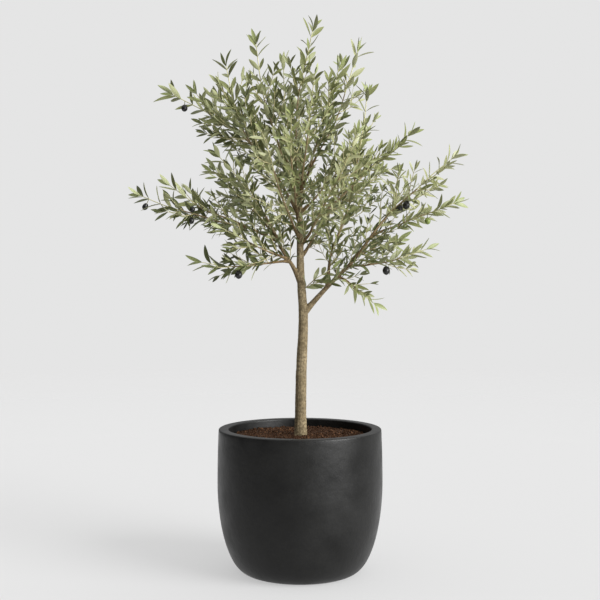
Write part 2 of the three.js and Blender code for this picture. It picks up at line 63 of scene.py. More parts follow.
# A bough leaves its parent at a share of its length, at a turn (0 right, 90 back) and a rise above level,
# and eases to another by its tip. Its spray is the foliage that grows on from there.
boughs = {
    "right_bough": dict(
        on="trunk", at=0.5, turn=-8, sweep=4, rise=46, riseEnd=50,
        length=262, radius=6.4, tip=3.4, waver=5,
        spray=dict(length=240, sweep=-4, riseEnd=36, spread=100, twigs=4, roll=300),
        olives=[(0.42, 175), (0.48, -120)],
    ),
    "right_middle_bough": dict(
        on="right_bough", at=0.93, turn=8, sweep=-4, rise=34, riseEnd=20,
        length=52, radius=2.8, tip=2.3, waver=3,
        spray=dict(length=154, sweep=-6, riseEnd=22, spread=64, twigs=3, roll=75),
        olives=[(0.64, -90)],
    ),
    "right_low_bough": dict(
        on="right_bough", at=0.6, turn=-24, sweep=10, rise=-2, riseEnd=8,
        length=58, radius=2.8, tip=2.3, waver=4,
        spray=dict(length=120, sweep=8, riseEnd=22, spread=66, twigs=2, roll=45),
        olives=[(0.3, -90)],
    ),
    "right_drooping_bough": dict(
        on="right_bough", at=0.46, turn=-26, sweep=10, rise=-6, riseEnd=-42,
        length=34, radius=2.4, tip=2, waver=3,
        spray=dict(length=60, sweep=8, riseEnd=-40, spread=44, twigs=1, roll=15),
    ),
    "inner_right_bough": dict(
        on="right_bough", at=0.33, turn=-50, sweep=16, rise=88, riseEnd=66,
        length=120, radius=4, tip=3, waver=5,
        spray=dict(length=334, sweep=20, riseEnd=88, spread=104, twigs=4, roll=345),
    ),
    "left_bough": dict(
        on="trunk", at=0.62, turn=190, sweep=-4, rise=60, riseEnd=62,
        length=140, radius=5.6, tip=3.4, waver=4,
        spray=dict(length=214, sweep=-2, riseEnd=46, spread=104, twigs=4, roll=255),
    ),
    "left_arm": dict(
        on="left_bough", at=0.84, turn=178, sweep=4, rise=32, riseEnd=11,
        length=108, radius=3.4, tip=2.7, waver=4,
        spray=dict(length=224, sweep=4, riseEnd=22, spread=58, twigs=2, roll=0),
        olives=[(0.5, -90), (0.98, 180)],
    ),
    "left_arm_fork": dict(
        on="left_arm", at=0.8, turn=190, sweep=-8, rise=34, riseEnd=18,
        length=56, radius=2.6, tip=2.2, waver=3,
        spray=dict(length=135, sweep=-2, riseEnd=42, spread=52, twigs=2, roll=225),
        olives=[(0.63, -90)],
    ),
    "left_low_bough": dict(
        on="left_bough", at=0.44, turn=206, sweep=-14, rise=2, riseEnd=-12,
        length=60, radius=3, tip=2.4, waver=3,
        spray=dict(length=138, sweep=-8, riseEnd=10, spread=62, twigs=2, roll=45),
        olives=[(0.48, -90)],
    ),
    "left_inner_bough": dict(
        on="left_bough", at=0.5, turn=226, sweep=-20, rise=14, riseEnd=20,
        length=46, radius=2.8, tip=2.3, waver=4,
        spray=dict(length=120, sweep=-16, riseEnd=30, spread=76, twigs=3, roll=105),
    ),
    "left_back_bough": dict(
        on="left_bough", at=0.92, turn=130, sweep=10, rise=38, riseEnd=40,
        length=66, radius=3, tip=2.4, waver=4,
        spray=dict(length=178, sweep=10, riseEnd=44, spread=100, twigs=3, roll=150),
    ),
    "upper_left_bough": dict(
        on="trunk", at=0.89, turn=182, sweep=-4, rise=66, riseEnd=54,
        length=124, radius=4.2, tip=3, waver=4,
        spray=dict(length=298, sweep=2, riseEnd=22, spread=100, twigs=4, roll=112),
        olives=[(0.95, -90)],
    ),
    "upper_left_fork": dict(
        on="upper_left_bough", at=0.8, turn=216, sweep=-14, rise=60, riseEnd=46,
        length=60, radius=2.8, tip=2.3, waver=4,
        spray=dict(length=232, sweep=-14, riseEnd=86, spread=98, twigs=4, roll=15),
    ),
    "left_leader": dict(
        on="trunk", at=0.94, turn=204, sweep=-8, rise=66, riseEnd=68,
        length=88, radius=3.8, tip=2.9, waver=4,
        spray=dict(length=298, sweep=-10, riseEnd=82, spread=90, twigs=4, roll=285),
    ),
    "left_leader_fork": dict(
        on="left_leader", at=0.86, turn=110, sweep=0, rise=66, riseEnd=82,
        length=66, radius=2.7, tip=2.3, waver=4,
        spray=dict(length=194, sweep=0, riseEnd=88, spread=72, twigs=3, roll=150),
    ),
    "centre_leader": dict(
        on="trunk", at=0.97, turn=160, sweep=0, rise=76, riseEnd=90,
        length=92, radius=3.8, tip=2.9, waver=3,
        spray=dict(length=302, sweep=0, riseEnd=106, spread=84, twigs=4, roll=300),
    ),
    "right_leader": dict(
        on="trunk", at=0.985, turn=-28, sweep=8, rise=66, riseEnd=70,
        length=80, radius=3.6, tip=2.8, waver=4,
        spray=dict(length=218, sweep=8, riseEnd=74, spread=86, twigs=3, roll=75),
    ),
    "right_leader_fork": dict(
        on="right_leader", at=0.88, turn=30, sweep=-8, rise=58, riseEnd=60,
        length=64, radius=2.7, tip=2.3, waver=4,
        spray=dict(length=234, sweep=-8, riseEnd=78, spread=64, twigs=3, roll=165),
    ),
    "upper_right_bough": dict(
        on="trunk", at=0.91, turn=-10, sweep=-6, rise=40, riseEnd=46,
        length=48, radius=3.2, tip=2.6, waver=4,
        spray=dict(length=164, sweep=-4, riseEnd=52, spread=88, twigs=3, roll=0),
    ),
    "right_high_bough": dict(
        on="trunk", at=0.83, turn=20, sweep=-6, rise=36, riseEnd=42,
        length=84, radius=4, tip=2.8, waver=5,
        spray=dict(length=270, sweep=-10, riseEnd=42, spread=88, twigs=4, roll=315),
    ),
    "front_bough": dict(
        on="trunk", at=0.865, turn=-104, sweep=8, rise=40, riseEnd=40,
        length=72, radius=4, tip=2.9, waver=5,
        spray=dict(length=266, sweep=6, riseEnd=38, spread=100, twigs=4, roll=220),
    ),
    "front_right_bough": dict(
        on="trunk", at=0.775, turn=-46, sweep=-6, rise=38, riseEnd=46,
        length=62, radius=4, tip=2.9, waver=5,
        spray=dict(length=258, sweep=-8, riseEnd=50, spread=106, twigs=4, roll=267),
    ),
    "front_left_bough": dict(
        on="trunk", at=0.8, turn=240, sweep=6, rise=44, riseEnd=46,
        length=66, radius=4, tip=2.9, waver=5,
        spray=dict(length=246, sweep=6, riseEnd=48, spread=104, twigs=3, roll=314),
    ),
    "front_high_bough": dict(
        on="trunk", at=0.955, turn=-84, sweep=6, rise=54, riseEnd=60,
        length=66, radius=3.5, tip=2.7, waver=4,
        spray=dict(length=240, sweep=0, riseEnd=58, spread=90, twigs=3, roll=1),
    ),
    "back_bough": dict(
        on="trunk", at=0.81, turn=88, sweep=8, rise=36, riseEnd=40,
        length=74, radius=4.2, tip=3, waver=5,
        spray=dict(length=300, sweep=6, riseEnd=38, spread=106, twigs=4, roll=48),
    ),
    "back_right_bough": dict(
        on="trunk", at=0.73, turn=52, sweep=4, rise=38, riseEnd=46,
        length=72, radius=4.3, tip=3, waver=5,
        spray=dict(length=286, sweep=-6, riseEnd=44, spread=106, twigs=4, roll=95),
    ),
    "back_high_bough": dict(
        on="trunk", at=0.9, turn=98, sweep=-8, rise=56, riseEnd=60,
        length=70, radius=3.6, tip=2.8, waver=4,
        spray=dict(length=252, sweep=0, riseEnd=58, spread=90, twigs=3, roll=142),
    ),
}

# small sprays that grow straight from the side of a limb
sprigs = {
    "trunk_sprig": dict(
        on="trunk", at=0.59, turn=-24, rise=44,
        spray=dict(length=78, sweep=10, riseEnd=30, spread=40, twigs=1, roll=255),
    ),
    "right_sprig": dict(
        on="right_bough", at=0.7, turn=4, rise=34,
        spray=dict(length=96, sweep=0, riseEnd=14, spread=60, twigs=3, roll=240),
    ),
}


# directions, paths and draws

up = np.array((0.0, 0.0, 1.0))
back = np.array((0.0, 1.0, 0.0))
nearlyUpright = 0.98  # the upward part of a course one long
drawRule = {"spread": 7919, "start": 104729, "factor": 16807, "period": 2147483647}


def mix(low, high, share):
    return low + (high - low) * share


def unit(vector):
    return vector / np.linalg.norm(vector)


def makeDraw(seed):
    # a repeatable run of numbers between two bounds
    state = seed * drawRule["spread"] + drawRule["start"]

    def draw(low, high):
        nonlocal state
        state = state * drawRule["factor"] % drawRule["period"]
        return mix(low, high, state / drawRule["period"])

    return draw


def heading(turn, rise):
    turn, rise = math.radians(turn), math.radians(rise)
    return np.array((math.cos(rise) * math.cos(turn), math.cos(rise) * math.sin(turn), math.sin(rise)))


def outwardsFrom(along, roll):
    # the direction square to a course at a roll round it, in degrees
    isUpright = abs(along[2]) > nearlyUpright
    level = unit(np.cross(along, (1, 0, 0) if isUpright else up))
    roll = math.radians(roll)
    return level * math.cos(roll) + np.cross(level, along) * math.sin(roll)


def pointAt(path, share):
    step = min(int(share * (len(path) - 1)), len(path) - 2)
    return mix(path[step], path[step + 1], share * (len(path) - 1) - step)


def courseAt(path, share):
    step = min(int(share * (len(path) - 1)), len(path) - 2)
    return unit(path[step + 1] - path[step])


def pathLength(path):
    return float(np.linalg.norm(np.diff(path, axis=0), axis=1).sum())


def rounded(path, radii, parts):
    # a smooth run through a coarse path's points, each step in so many parts
    points = np.vstack((2 * path[0] - path[1], path, 2 * path[-1] - path[-2]))
    share = (np.arange(parts) / parts)[:, None]
    runs = []
    for before, start, end, after in zip(points, points[1:], points[2:], points[3:]):
        leaving = (end - before) / 2
        arriving = (after - start) / 2
        bend = 2 * start - 2 * end + leaving + arriving
        swing = 3 * end - 3 * start - 2 * leaving - arriving
        runs.append(start + share * leaving + share**2 * swing + share**3 * bend)
    smooth = np.vstack((*runs, path[-1:]))
    shares = np.linspace(0, len(path) - 1, len(smooth))
    return smooth, np.interp(shares, np.arange(len(path)), radii)


def coursePath(start, course, steps, phase):
    # eases from one turn and rise to another, wavering a little on the way
    path = [start]
    for i in range(steps):
        share = (i + 0.5) / steps
        wave = 2 * math.pi * (boughCourse["waverPace"] * share + phase)
        direction = heading(
            course["turn"] + course.get("sweep", 0) * share + course["waver"] * math.sin(wave),
            mix(course["rise"], course["riseEnd"], share) + course["waver"] * math.cos(wave),
        )
        path.append(path[-1] + direction * course["length"] / steps)
    return np.array(path)


def knotSpan(start, end):
    return float(np.linalg.norm(end - start)) ** 0.5


def trunkPath():
    # a centripetal curve through the sway, in equal steps
    knots = [np.array((right, back, rise), float) for rise, right, back in trunkPlan["sway"]]
    knots = [2 * knots[0] - knots[1], *knots, 2 * knots[-1] - knots[-2]]
    share = np.linspace(0, 1, trunkPlan["fineSteps"] + 1)[:, None]
    fine = []
    for before, start, end, after in zip(knots, knots[1:], knots[2:], knots[3:]):
        spanIn, span, spanOut = knotSpan(before, start), knotSpan(start, end), knotSpan(end, after)
        leaving = (start - before) / spanIn - (end - before) / (spanIn + span) + (end - start) / span
        arriving = (end - start) / span - (after - start) / (span + spanOut) + (after - end) / spanOut
        leaving, arriving = leaving * span, arriving * span
        swing = 3 * (end - start) - 2 * leaving - arriving
        bend = 2 * (start - end) + leaving + arriving
        fine.append(start + share * leaving + share**2 * swing + share**3 * bend)
    fine = np.vstack(fine)
    run = np.concatenate(([0], np.cumsum(np.linalg.norm(np.diff(fine, axis=0), axis=1))))
    places = np.linspace(0, run[-1], trunkPlan["steps"] + 1)
    return np.stack([np.interp(places, run, fine[:, axis]) for axis in range(3)], axis=1)


def trunkRadius(height):
    taper = mix(trunkPlan["footRadius"], trunkPlan["forkRadius"],
                (height / trunkPlan["height"]) ** trunkPlan["taperPower"])
    return taper + trunkPlan["flare"] * max(0, 1 - height / trunkPlan["flareHeight"]) ** 2


footLift = np.array((0, 0, trunkPlan["foot"]))
trunkLine = trunkPath()
limbs = {"trunk": (trunkLine, [trunkRadius(height) for height in trunkLine[:, 2]])}
for i, (name, bough) in enumerate(boughs.items()):
    start = pointAt(limbs[bough["on"]][0], bough["at"])
    path = coursePath(start, bough, boughCourse["steps"], i * boughCourse["waverShift"])
    limbs[name] = (path, list(np.linspace(bough["radius"], bough["tip"], len(path))))
print(f"limbs: {len(limbs)}")


# pieces, and meshes from runs of tube and from copies


def placed(name, data):
    item = bpy.data.objects.new(name, data)
    bpy.context.scene.collection.objects.link(item)
    return item


def addObject(name, mesh, materials):
    for material in materials:
        mesh.materials.append(material)
    return placed(name, mesh)


def bakedMesh(name, holder):
    # the mesh that a curve or a piece with modifiers comes to; the holder goes
    depsgraph = bpy.context.evaluated_depsgraph_get()
    mesh = bpy.data.meshes.new_from_object(holder.evaluated_get(depsgraph))
    bpy.data.objects.remove(holder)
    mesh.name = name
    return mesh


def readVectors(items, trait):
    values = np.empty(len(items) * 3)
    items.foreach_get(trait, values)
    return values.reshape(-1, 3)


def dress(piece, slot, *nodes):
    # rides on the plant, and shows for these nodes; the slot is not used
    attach(piece, "root")
    if nodes:
        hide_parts(*nodes)


def fromBmesh(name, bm):
    mesh = bpy.data.meshes.new(name)
    bm.to_mesh(mesh)
    bm.free()
    return mesh


def tubeMesh(name, runs, sides):
    # runs holds (points, radii) in millimetres, measured from the trunk's foot
    curve = bpy.data.curves.new(name, "CURVE")
    curve.dimensions = "3D"
    curve.bevel_depth = 1
    curve.bevel_resolution = (sides - 4) // 2
    curve.use_fill_caps = True
    for points, radii in runs:
        spline = curve.splines.new("POLY")
        spline.points.add(len(points) - 1)
        places = np.ones((len(points), 4))
        places[:, :3] = (points + footLift) * mm
        spline.points.foreach_set("co", places.ravel())
        spline.points.foreach_set("radius", np.array(radii) * mm)
    mesh = bakedMesh(name, placed(name, curve))
    mesh.materials.clear()
    return mesh


def cornersAndFaces(bm):
    # a small template as arrays, in triangles, with each face's material
    bmesh.ops.triangulate(bm, faces=bm.faces)
    bm.verts.index_update()
    corners = np.array([vert.co for vert in bm.verts])
    faces = np.array([[vert.index for vert in face.verts] for face in bm.faces])
    slots = np.array([face.material_index for face in bm.faces])
    bm.free()
    return corners, faces, slots


def copiesMesh(name, groups, sharpAngle=None):
    # groups holds (template, turns, places), for one copy at each turn and place, in millimetres
    corners, faces, slots = [], [], []
    count = 0
    for (shape, shapeFaces, shapeSlots), turns, places in groups:
        if not len(places):
            continue
        copies = np.einsum("nij,vj->nvi", np.array(turns), shape) + np.array(places)[:, None]
        starts = count + np.arange(len(places)) * len(shape)
        corners.append(copies.reshape(-1, 3))
        faces.append((shapeFaces[None] + starts[:, None, None]).reshape(-1, 3))
        slots.append(np.tile(shapeSlots, len(places)))
        count += len(places) * len(shape)
    mesh = bpy.data.meshes.new(name)
    mesh.from_pydata((np.vstack(corners) * mm).tolist(), [], np.vstack(faces).tolist())
    mesh.polygons.foreach_set("material_index", np.concatenate(slots).astype(np.int32))
    mesh.shade_smooth()
    if sharpAngle is not None:
        mesh.set_sharp_from_angle(angle=math.radians(sharpAngle))
    mesh.update()
    return mesh


# finishes


def plainFinish(name, colour, roughness, specular=0.5):
    material = bpy.data.materials.new(name)
    material.use_nodes = True
    shader = material.node_tree.nodes["Principled BSDF"]
    shader.inputs["Base Color"].default_value = (*colour, 1)
    shader.inputs["Roughness"].default_value = roughness
    shader.inputs["Specular IOR Level"].default_value = specular
    return material


def addNode(owner, kind, inputs=None, **settings):
    # an input that comes from another node is linked, and a plain value is set
    node = owner.node_tree.nodes.new(f"ShaderNode{kind}")
    for name, value in settings.items():
        setattr(node, name, value)
    for socket, value in (inputs or {}).items():
        if isinstance(value, bpy.types.NodeSocket):
            owner.node_tree.links.new(value, node.inputs[socket])
        else:
            node.inputs[socket].default_value = value
    return node


def noiseOn(material, scale, detail=4, stretch=(1, 1, 1), roughness=0.55):
    # a noise pattern on Object coordinates, in cycles a metre
    place = addNode(material, "TexCoord").outputs["Object"]
    stretched = addNode(material, "Mapping", {"Vector": place, "Scale": stretch}).outputs["Vector"]
    inputs = {"Vector": stretched, "Scale": scale, "Detail": detail, "Roughness": roughness}
    return addNode(material, "TexNoise", inputs).outputs["Fac"]


def rampOn(material, value, stops):
    # stops holds (place, colour) pairs
    ramp = addNode(material, "ValToRGB", {"Fac": value})
    elements = ramp.color_ramp.elements
    while len(elements) < len(stops):
        elements.new(0.5)
    for element, (place, colour) in zip(elements, stops):
        element.position = place
        element.color = (*colour, 1)
    return ramp.outputs["Color"]


def multipliedOn(material, first, second):
    inputs = {"Factor": 1, "A": first, "B": second}
    return addNode(material, "Mix", inputs, data_type="RGBA", blend_type="MULTIPLY").outputs["Result"]


def greys(stops):
    # (place, value) pairs as a ramp's stops
    return [(place, (value,) * 3) for place, value in stops]


def bumpOn(material, heights, distance, strength, under=None):
    # the distance is in millimetres
    inputs = {"Height": heights, "Distance": distance * mm, "Strength": strength}
    if under is not None:
        inputs["Normal"] = under
    return addNode(material, "Bump", inputs).outputs["Normal"]


def feed(material, socket, output):
    shader = material.node_tree.nodes["Principled BSDF"]
    material.node_tree.links.new(output, shader.inputs[socket])


# the planter

planter = {
    "height": 345,
    "rimRadius": 197,
    "bellyRadius": 200,
    "bellyHeight": 215,
    "footRadius": 127,
    "wall": 24,
    "floor": 28,
    "lipEase": 3.6,  # how far the lip's two edges are rounded
    "shoulder": 0.6,  # how far up from the belly to the lip the wall stays full
    "turns": 144,  # steps round
    "steps": {"lower": 30, "upper": 12, "lip": 5, "inside": 12},  # along the profile
    "unevenness": 0.22,  # how far the cast wall strays
    "strayPace": 6,
    "evenFoot": 30,  # it is even below this height, this near the lip, and nearer the axis than this
    "evenLip": 12,
    "strayReach": 150,
    "charcoal": (0.007, 0.007, 0.0068),
    "mottle": [(0.34, (0.0034, 0.0034, 0.0031)), (0.64, (0.0082, 0.0082, 0.0077))],
    "speckle": [(0.35, 0.8), (0.68, 1.2)],
    "dullness": [(0.34, 0.32), (0.62, 0.46)],
}


def arcPoints(centre, radius, start, end, steps):
    angles = np.radians(np.linspace(start, end, steps + 1))
    return [(centre[0] + radius[0] * math.cos(a), centre[1] + radius[1] * math.sin(a)) for a in angles]


def planterProfile():
    # an arc up to the belly, a long ease in to the lip, two small arcs over it, and an arc down inside
    height, rim = planter["height"], planter["rimRadius"]
    belly, bellyHeight = planter["bellyRadius"], planter["bellyHeight"]
    foot, wall, floor, ease = (planter[k] for k in ("footRadius", "wall", "floor", "lipEase"))
    steps = planter["steps"]
    lower = arcPoints((foot, bellyHeight), (belly - foot, bellyHeight), -90, 0, steps["lower"])
    shoulder = mix(bellyHeight, height, planter["shoulder"])
    upper = []
    for share in np.linspace(0, 1, steps["upper"] + 1)[1:]:
        first = mix(np.array((belly, bellyHeight)), np.array((belly, shoulder)), share)
        second = mix(np.array((belly, shoulder)), np.array((rim, height - ease)), share)
        upper.append(tuple(mix(first, second, share)))
    lipOut = arcPoints((rim - ease, height - ease), (ease, ease), 0, 90, steps["lip"])[1:]
    lipIn = arcPoints((rim - wall + ease, height - ease), (ease, ease), 90, 180, steps["lip"])
    innerReach = (belly - foot - wall / 2, bellyHeight - floor)
    inside = arcPoints((foot - wall / 2, bellyHeight), innerReach, 0, -90, steps["inside"])
    return [(0, 0), (foot / 2, 0), *lower, *upper, *lipOut, *lipIn, *inside, (0, floor)]


def spunShape(profile, steps):
    # a profile of (radius, height) turned round the axis
    bm = bmesh.new()
    verts = [bm.verts.new((radius * mm, 0, height * mm)) for radius, height in profile]
    edges = [bm.edges.new(pair) for pair in zip(verts, verts[1:])]
    bmesh.ops.spin(bm, geom=verts + edges, cent=(0, 0, 0), axis=(0, 0, 1), angle=2 * math.pi,
                   steps=steps, use_merge=True)
    bmesh.ops.remove_doubles(bm, verts=bm.verts, dist=0.01 * mm)
    bmesh.ops.recalc_face_normals(bm, faces=bm.faces)
    return bm


def planterFinish():
    material = plainFinish("matte_charcoal", planter["charcoal"], 0.4, specular=0.28)
    broad = noiseOn(material, 13, detail=5, roughness=0.55)
    fine = noiseOn(material, 130, detail=5, roughness=0.65)
    tone = rampOn(material, broad, planter["mottle"])
    speckle = rampOn(material, fine, greys(planter["speckle"]))
    feed(material, "Base Color", multipliedOn(material, tone, speckle))
    feed(material, "Roughness", rampOn(material, broad, greys(planter["dullness"])))
    grain = bumpOn(material, noiseOn(material, 380, detail=3), 0.1, 0.4)
    feed(material, "Normal", bumpOn(material, broad, 3.6, 0.65, under=grain))
    return material


bm = spunShape(planterProfile(), planter["turns"])
strayLow, strayHigh = planter["evenFoot"] * mm, (planter["height"] - planter["evenLip"]) * mm
for vert in bm.verts:
    reach = math.hypot(vert.co.x, vert.co.y)
    if strayLow < vert.co.z < strayHigh and reach > planter["strayReach"] * mm:
        # the wall strays inwards only
        stray = noise.fractal(vert.co * planter["strayPace"], 1.0, 2.0, 3) - 0.5
        inward = planter["unevenness"] * mm * (stray - 0.5)
        vert.co.xy *= 1 + inward / reach
planterShell = addObject("planter_shell", fromBmesh("planter_shell", bm), [planterFinish()])
planterShell.data.shade_smooth()
dress(planterShell, "planter", "planter")
print("planter made")


# the soil

soil = {
    "level": 328,
    "flatRadius": 45,
    "fall": 4,
    "depth": 40,  # how far down the bed is modelled
    "rings": 56,
    "turns": 220,
    "gap": 0.2,  # between the bed and the planter's wall
    "lumps": 2.6,  # height of the broad lumps, and how closely they follow each other
    "lumpPace": 0.035,
    "lumpCalm": 30,  # they are lower nearer the middle than this, where the trunk stands
    "grain": 1.5,  # the same for the grain on them
    "grainPace": 0.28,
    "dampTones": [
        (0.32, (0.01, 0.0045, 0.002)),
        (0.5, (0.036, 0.016, 0.0065)),
        (0.66, (0.09, 0.043, 0.02)),
    ],
    "crumbs": 2600,
    "crumbSize": (1.3, 3.4),
    "crumbTone": (0.034, 0.0147, 0.006),
    "barkChips": 420,
    "barkChipSize": (2.0, 4.6),
    "barkChipTone": (0.075, 0.0345, 0.0145),
    "shapes": 6,  # different ones of each
    "roughness": (0.7, 1.25),  # how far their corners stand out
    "scatterShare": 0.97,  # of the bed's area
    "bedded": 0.25,  # how high each lies, and how far from the trunk, as a share of its size
    "trunkGap": 0.3,
}


def insideRadius(height):
    # the planter's inner wall above its belly
    lipRadius = planter["rimRadius"] - planter["wall"]
    bellyRadius = planter["bellyRadius"] - planter["wall"]
    share = (height - planter["bellyHeight"]) / (planter["height"] - planter["bellyHeight"])
    return mix(bellyRadius, lipRadius, share)


def soilHeight(x, y):
    reach = math.hypot(x, y)
    edge = insideRadius(soil["level"])
    slope = max(0.0, (reach - soil["flatRadius"]) / (edge - soil["flatRadius"]))
    place = Vector((x, y, 0))
    broad = noise.fractal(place * soil["lumpPace"], 1.0, 2.0, 3) * min(1, reach / soil["lumpCalm"])
    fine = noise.fractal(place * soil["grainPace"], 0.8, 2.0, 3)
    return soil["level"] - soil["fall"] * slope + soil["lumps"] * broad + soil["grain"] * fine


def soilFinish():
    material = plainFinish("damp_soil", (0.05, 0.022, 0.012), 0.95, specular=0.2)
    grain = noiseOn(material, 260, detail=8, roughness=0.75)
    feed(material, "Base Color", rampOn(material, grain, soil["dampTones"]))
    feed(material, "Normal", bumpOn(material, grain, 2.2, 0.9))
    return material


soilTop = soil["level"] - soil["fall"]
bottom = soil["level"] - soil["depth"]
ringRadii = np.linspace(insideRadius(soilTop) - soil["gap"], 0, soil["rings"])
underside = [(0, bottom), (insideRadius(bottom) - soil["gap"], bottom)]
bm = spunShape([*underside, *((radius, soilTop) for radius in ringRadii)], soil["turns"])
for vert in bm.verts:
    if vert.co.z > (bottom + 1) * mm:
        vert.co.z = soilHeight(vert.co.x / mm, vert.co.y / mm) * mm
soilBed = addObject("soil_bed", fromBmesh("soil_bed", bm), [soilFinish()])
soilBed.data.shade_smooth()
dress(soilBed, "soil", "soil")


def crumbShapes(seed, flatness):
    # a few rough lumps, each from a twenty-sided ball
    draw = makeDraw(seed)
    shapes = []
    for _ in range(soil["shapes"]):
        bm = bmesh.new()
        bmesh.ops.create_icosphere(bm, subdivisions=1, radius=1)
        for vert in bm.verts:
            vert.co *= draw(*soil["roughness"])
            vert.co.z *= flatness
        shapes.append(cornersAndFaces(bm))
    return shapes


def turnMatrix(draw):
    # any turn, from a random pair of directions
    first = unit(np.array([draw(-1, 1) for _ in range(3)]) + 1e-6)
    second = unit(np.cross(first, unit(np.array([draw(-1, 1) for _ in range(3)]) + 1e-6)))
    return np.stack((first, second, np.cross(first, second)), axis=1)


def scattered(name, shapes, count, sizes, seed, finish):
    # copies all over the bed, most of them small
    draw = makeDraw(seed)
    turns, places = [[] for _ in shapes], [[] for _ in shapes]
    trunkFoot = trunkRadius(0)
    for i in range(count):
        reach = insideRadius(soil["level"]) * math.sqrt(draw(0, soil["scatterShare"]))
        turn = draw(0, 2 * math.pi)
        x, y = reach * math.cos(turn), reach * math.sin(turn)
        size = mix(*sizes, draw(0, 1) ** 2)
        if math.hypot(x - limbs["trunk"][0][0][0], y) < trunkFoot + size * soil["trunkGap"]:
            continue
        turns[i % len(shapes)].append(turnMatrix(draw) * size)
        places[i % len(shapes)].append((x, y, soilHeight(x, y) + size * soil["bedded"]))
    piece = addObject(name, copiesMesh(name, list(zip(shapes, turns, places)), sharpAngle=40), [finish])
    dress(piece, "soil")


scattered("soil_crumbs", crumbShapes(5, 0.85), soil["crumbs"], soil["crumbSize"], 11,
          plainFinish("brown_crumbs", soil["crumbTone"], 0.9, specular=0.15))
scattered("soil_chips", crumbShapes(6, 0.4), soil["barkChips"], soil["barkChipSize"], 12,
          plainFinish("pale_chips", soil["barkChipTone"], 0.85, specular=0.2))
print("soil made")


# trunk and boughs in bark

bark = {
    "sides": 12,
    "trunkParts": 5,  # how finely each step of a limb's course is rounded
    "boughParts": 8,
    "voxel": 1.1,  # of the one skin over all the limbs, which is then smoothed
    "smoothing": 6,
    "softness": 0.5,
    "sunk": 9,  # how far the trunk runs down into the soil
    "collar": 0.5,  # how much a bough thickens where it leaves its parent
    "collarLength": 20,
    "swell": 0.5,  # slow unevenness of the girth
    "swellPace": 38,
    "ridges": 0.34,
    "ridgePace": (170, 420),  # round and along the limbs
    "flutes": 0.9,  # ribs at the foot
    "fluteCount": 5,
    "fluteStray": 3,
    "flutePace": 20,
    "fluteHeight": 16,
    "fluteRadius": 12,  # thinner limbs have none
    "fullRadius": 10,  # thinner limbs have less relief
    "matureRadius": 12,  # and thinner ones than this the tone of young bark
    "tones": [(0.3, (0.165, 0.128, 0.074)), (0.7, (0.25, 0.2, 0.127))],
    "marks": [(0.34, (0.62, 0.6, 0.55)), (0.48, (1, 1, 1)), (0.68, (1.25, 1.24, 1.2))],
    "dots": [(0.38, (0.5, 0.48, 0.42)), (0.6, (1.14, 1.14, 1.1))],
    "young": [(0.2, (0.7, 0.6, 0.47)), (0.6, (1, 1, 1))],
}


def limbRun(name):
    # the trunk goes on down into the soil, and a bough starts with a collar
    path, radii = limbs[name]
    points, radii = rounded(path, radii, bark["trunkParts" if name == "trunk" else "boughParts"])
    if name == "trunk":
        below = points[0] - up * bark["sunk"]
        return np.vstack((below, points)), np.concatenate(([radii[0]], radii))
    run = np.linspace(0, pathLength(path), len(points))
    parentRadii = limbs[boughs[name]["on"]][1]
    parentRadius = np.interp(boughs[name]["at"], np.linspace(0, 1, len(parentRadii)), parentRadii)
    outside = np.maximum(0, run - parentRadius)
    return points, radii * (1 + bark["collar"] * np.exp(-outside / bark["collarLength"]))


def barkFinish():
    material = plainFinish("olive_bark", (0.16, 0.125, 0.085), 0.85, specular=0.25)
    rings = noiseOn(material, 110, detail=5, stretch=(1, 1, 1.6), roughness=0.65)
    speckle = noiseOn(material, 330, detail=4, stretch=(1, 1, 0.6), roughness=0.7)
    broad = noiseOn(material, 24, detail=3)
    girth = addNode(material, "Attribute", attribute_name="girth").outputs["Fac"]
    colour = rampOn(material, broad, bark["tones"])
    for pattern, stops in ((rings, "marks"), (speckle, "dots"), (girth, "young")):
        colour = multipliedOn(material, colour, rampOn(material, pattern, bark[stops]))
    feed(material, "Base Color", colour)
    relief = bumpOn(material, rings, 0.7, 0.6)
    feed(material, "Normal", bumpOn(material, speckle, 0.35, 0.7, under=relief))
    return material


def nearestGirth(points):
    # the radius of the limb that each point belongs to
    girth = np.zeros(len(points))
    least = np.full(len(points), np.inf)
    for path, radii in limbs.values():
        for i in range(len(path) - 1):
            course = path[i + 1] - path[i]
            share = np.clip((points - path[i]) @ course / (course @ course), 0, 1)
            radius = mix(radii[i], radii[i + 1], share)
            beyond = np.linalg.norm(points - path[i] - share[:, None] * course, axis=1) - radius
            closer = beyond < least
            least[closer] = beyond[closer]
            girth[closer] = radius[closer]
    return girth


def barkMesh():
    mesh = tubeMesh("limbs", [limbRun(name) for name in limbs], bark["sides"])
    holder = placed("limbs_rough", mesh)
    remesh = holder.modifiers.new("one skin", "REMESH")
    remesh.mode = "VOXEL"
    remesh.voxel_size = bark["voxel"] * mm
    smooth = holder.modifiers.new("soft crotches", "SMOOTH")
    smooth.factor = bark["softness"]
    smooth.iterations = bark["smoothing"]
    return bakedMesh("limbs", holder)


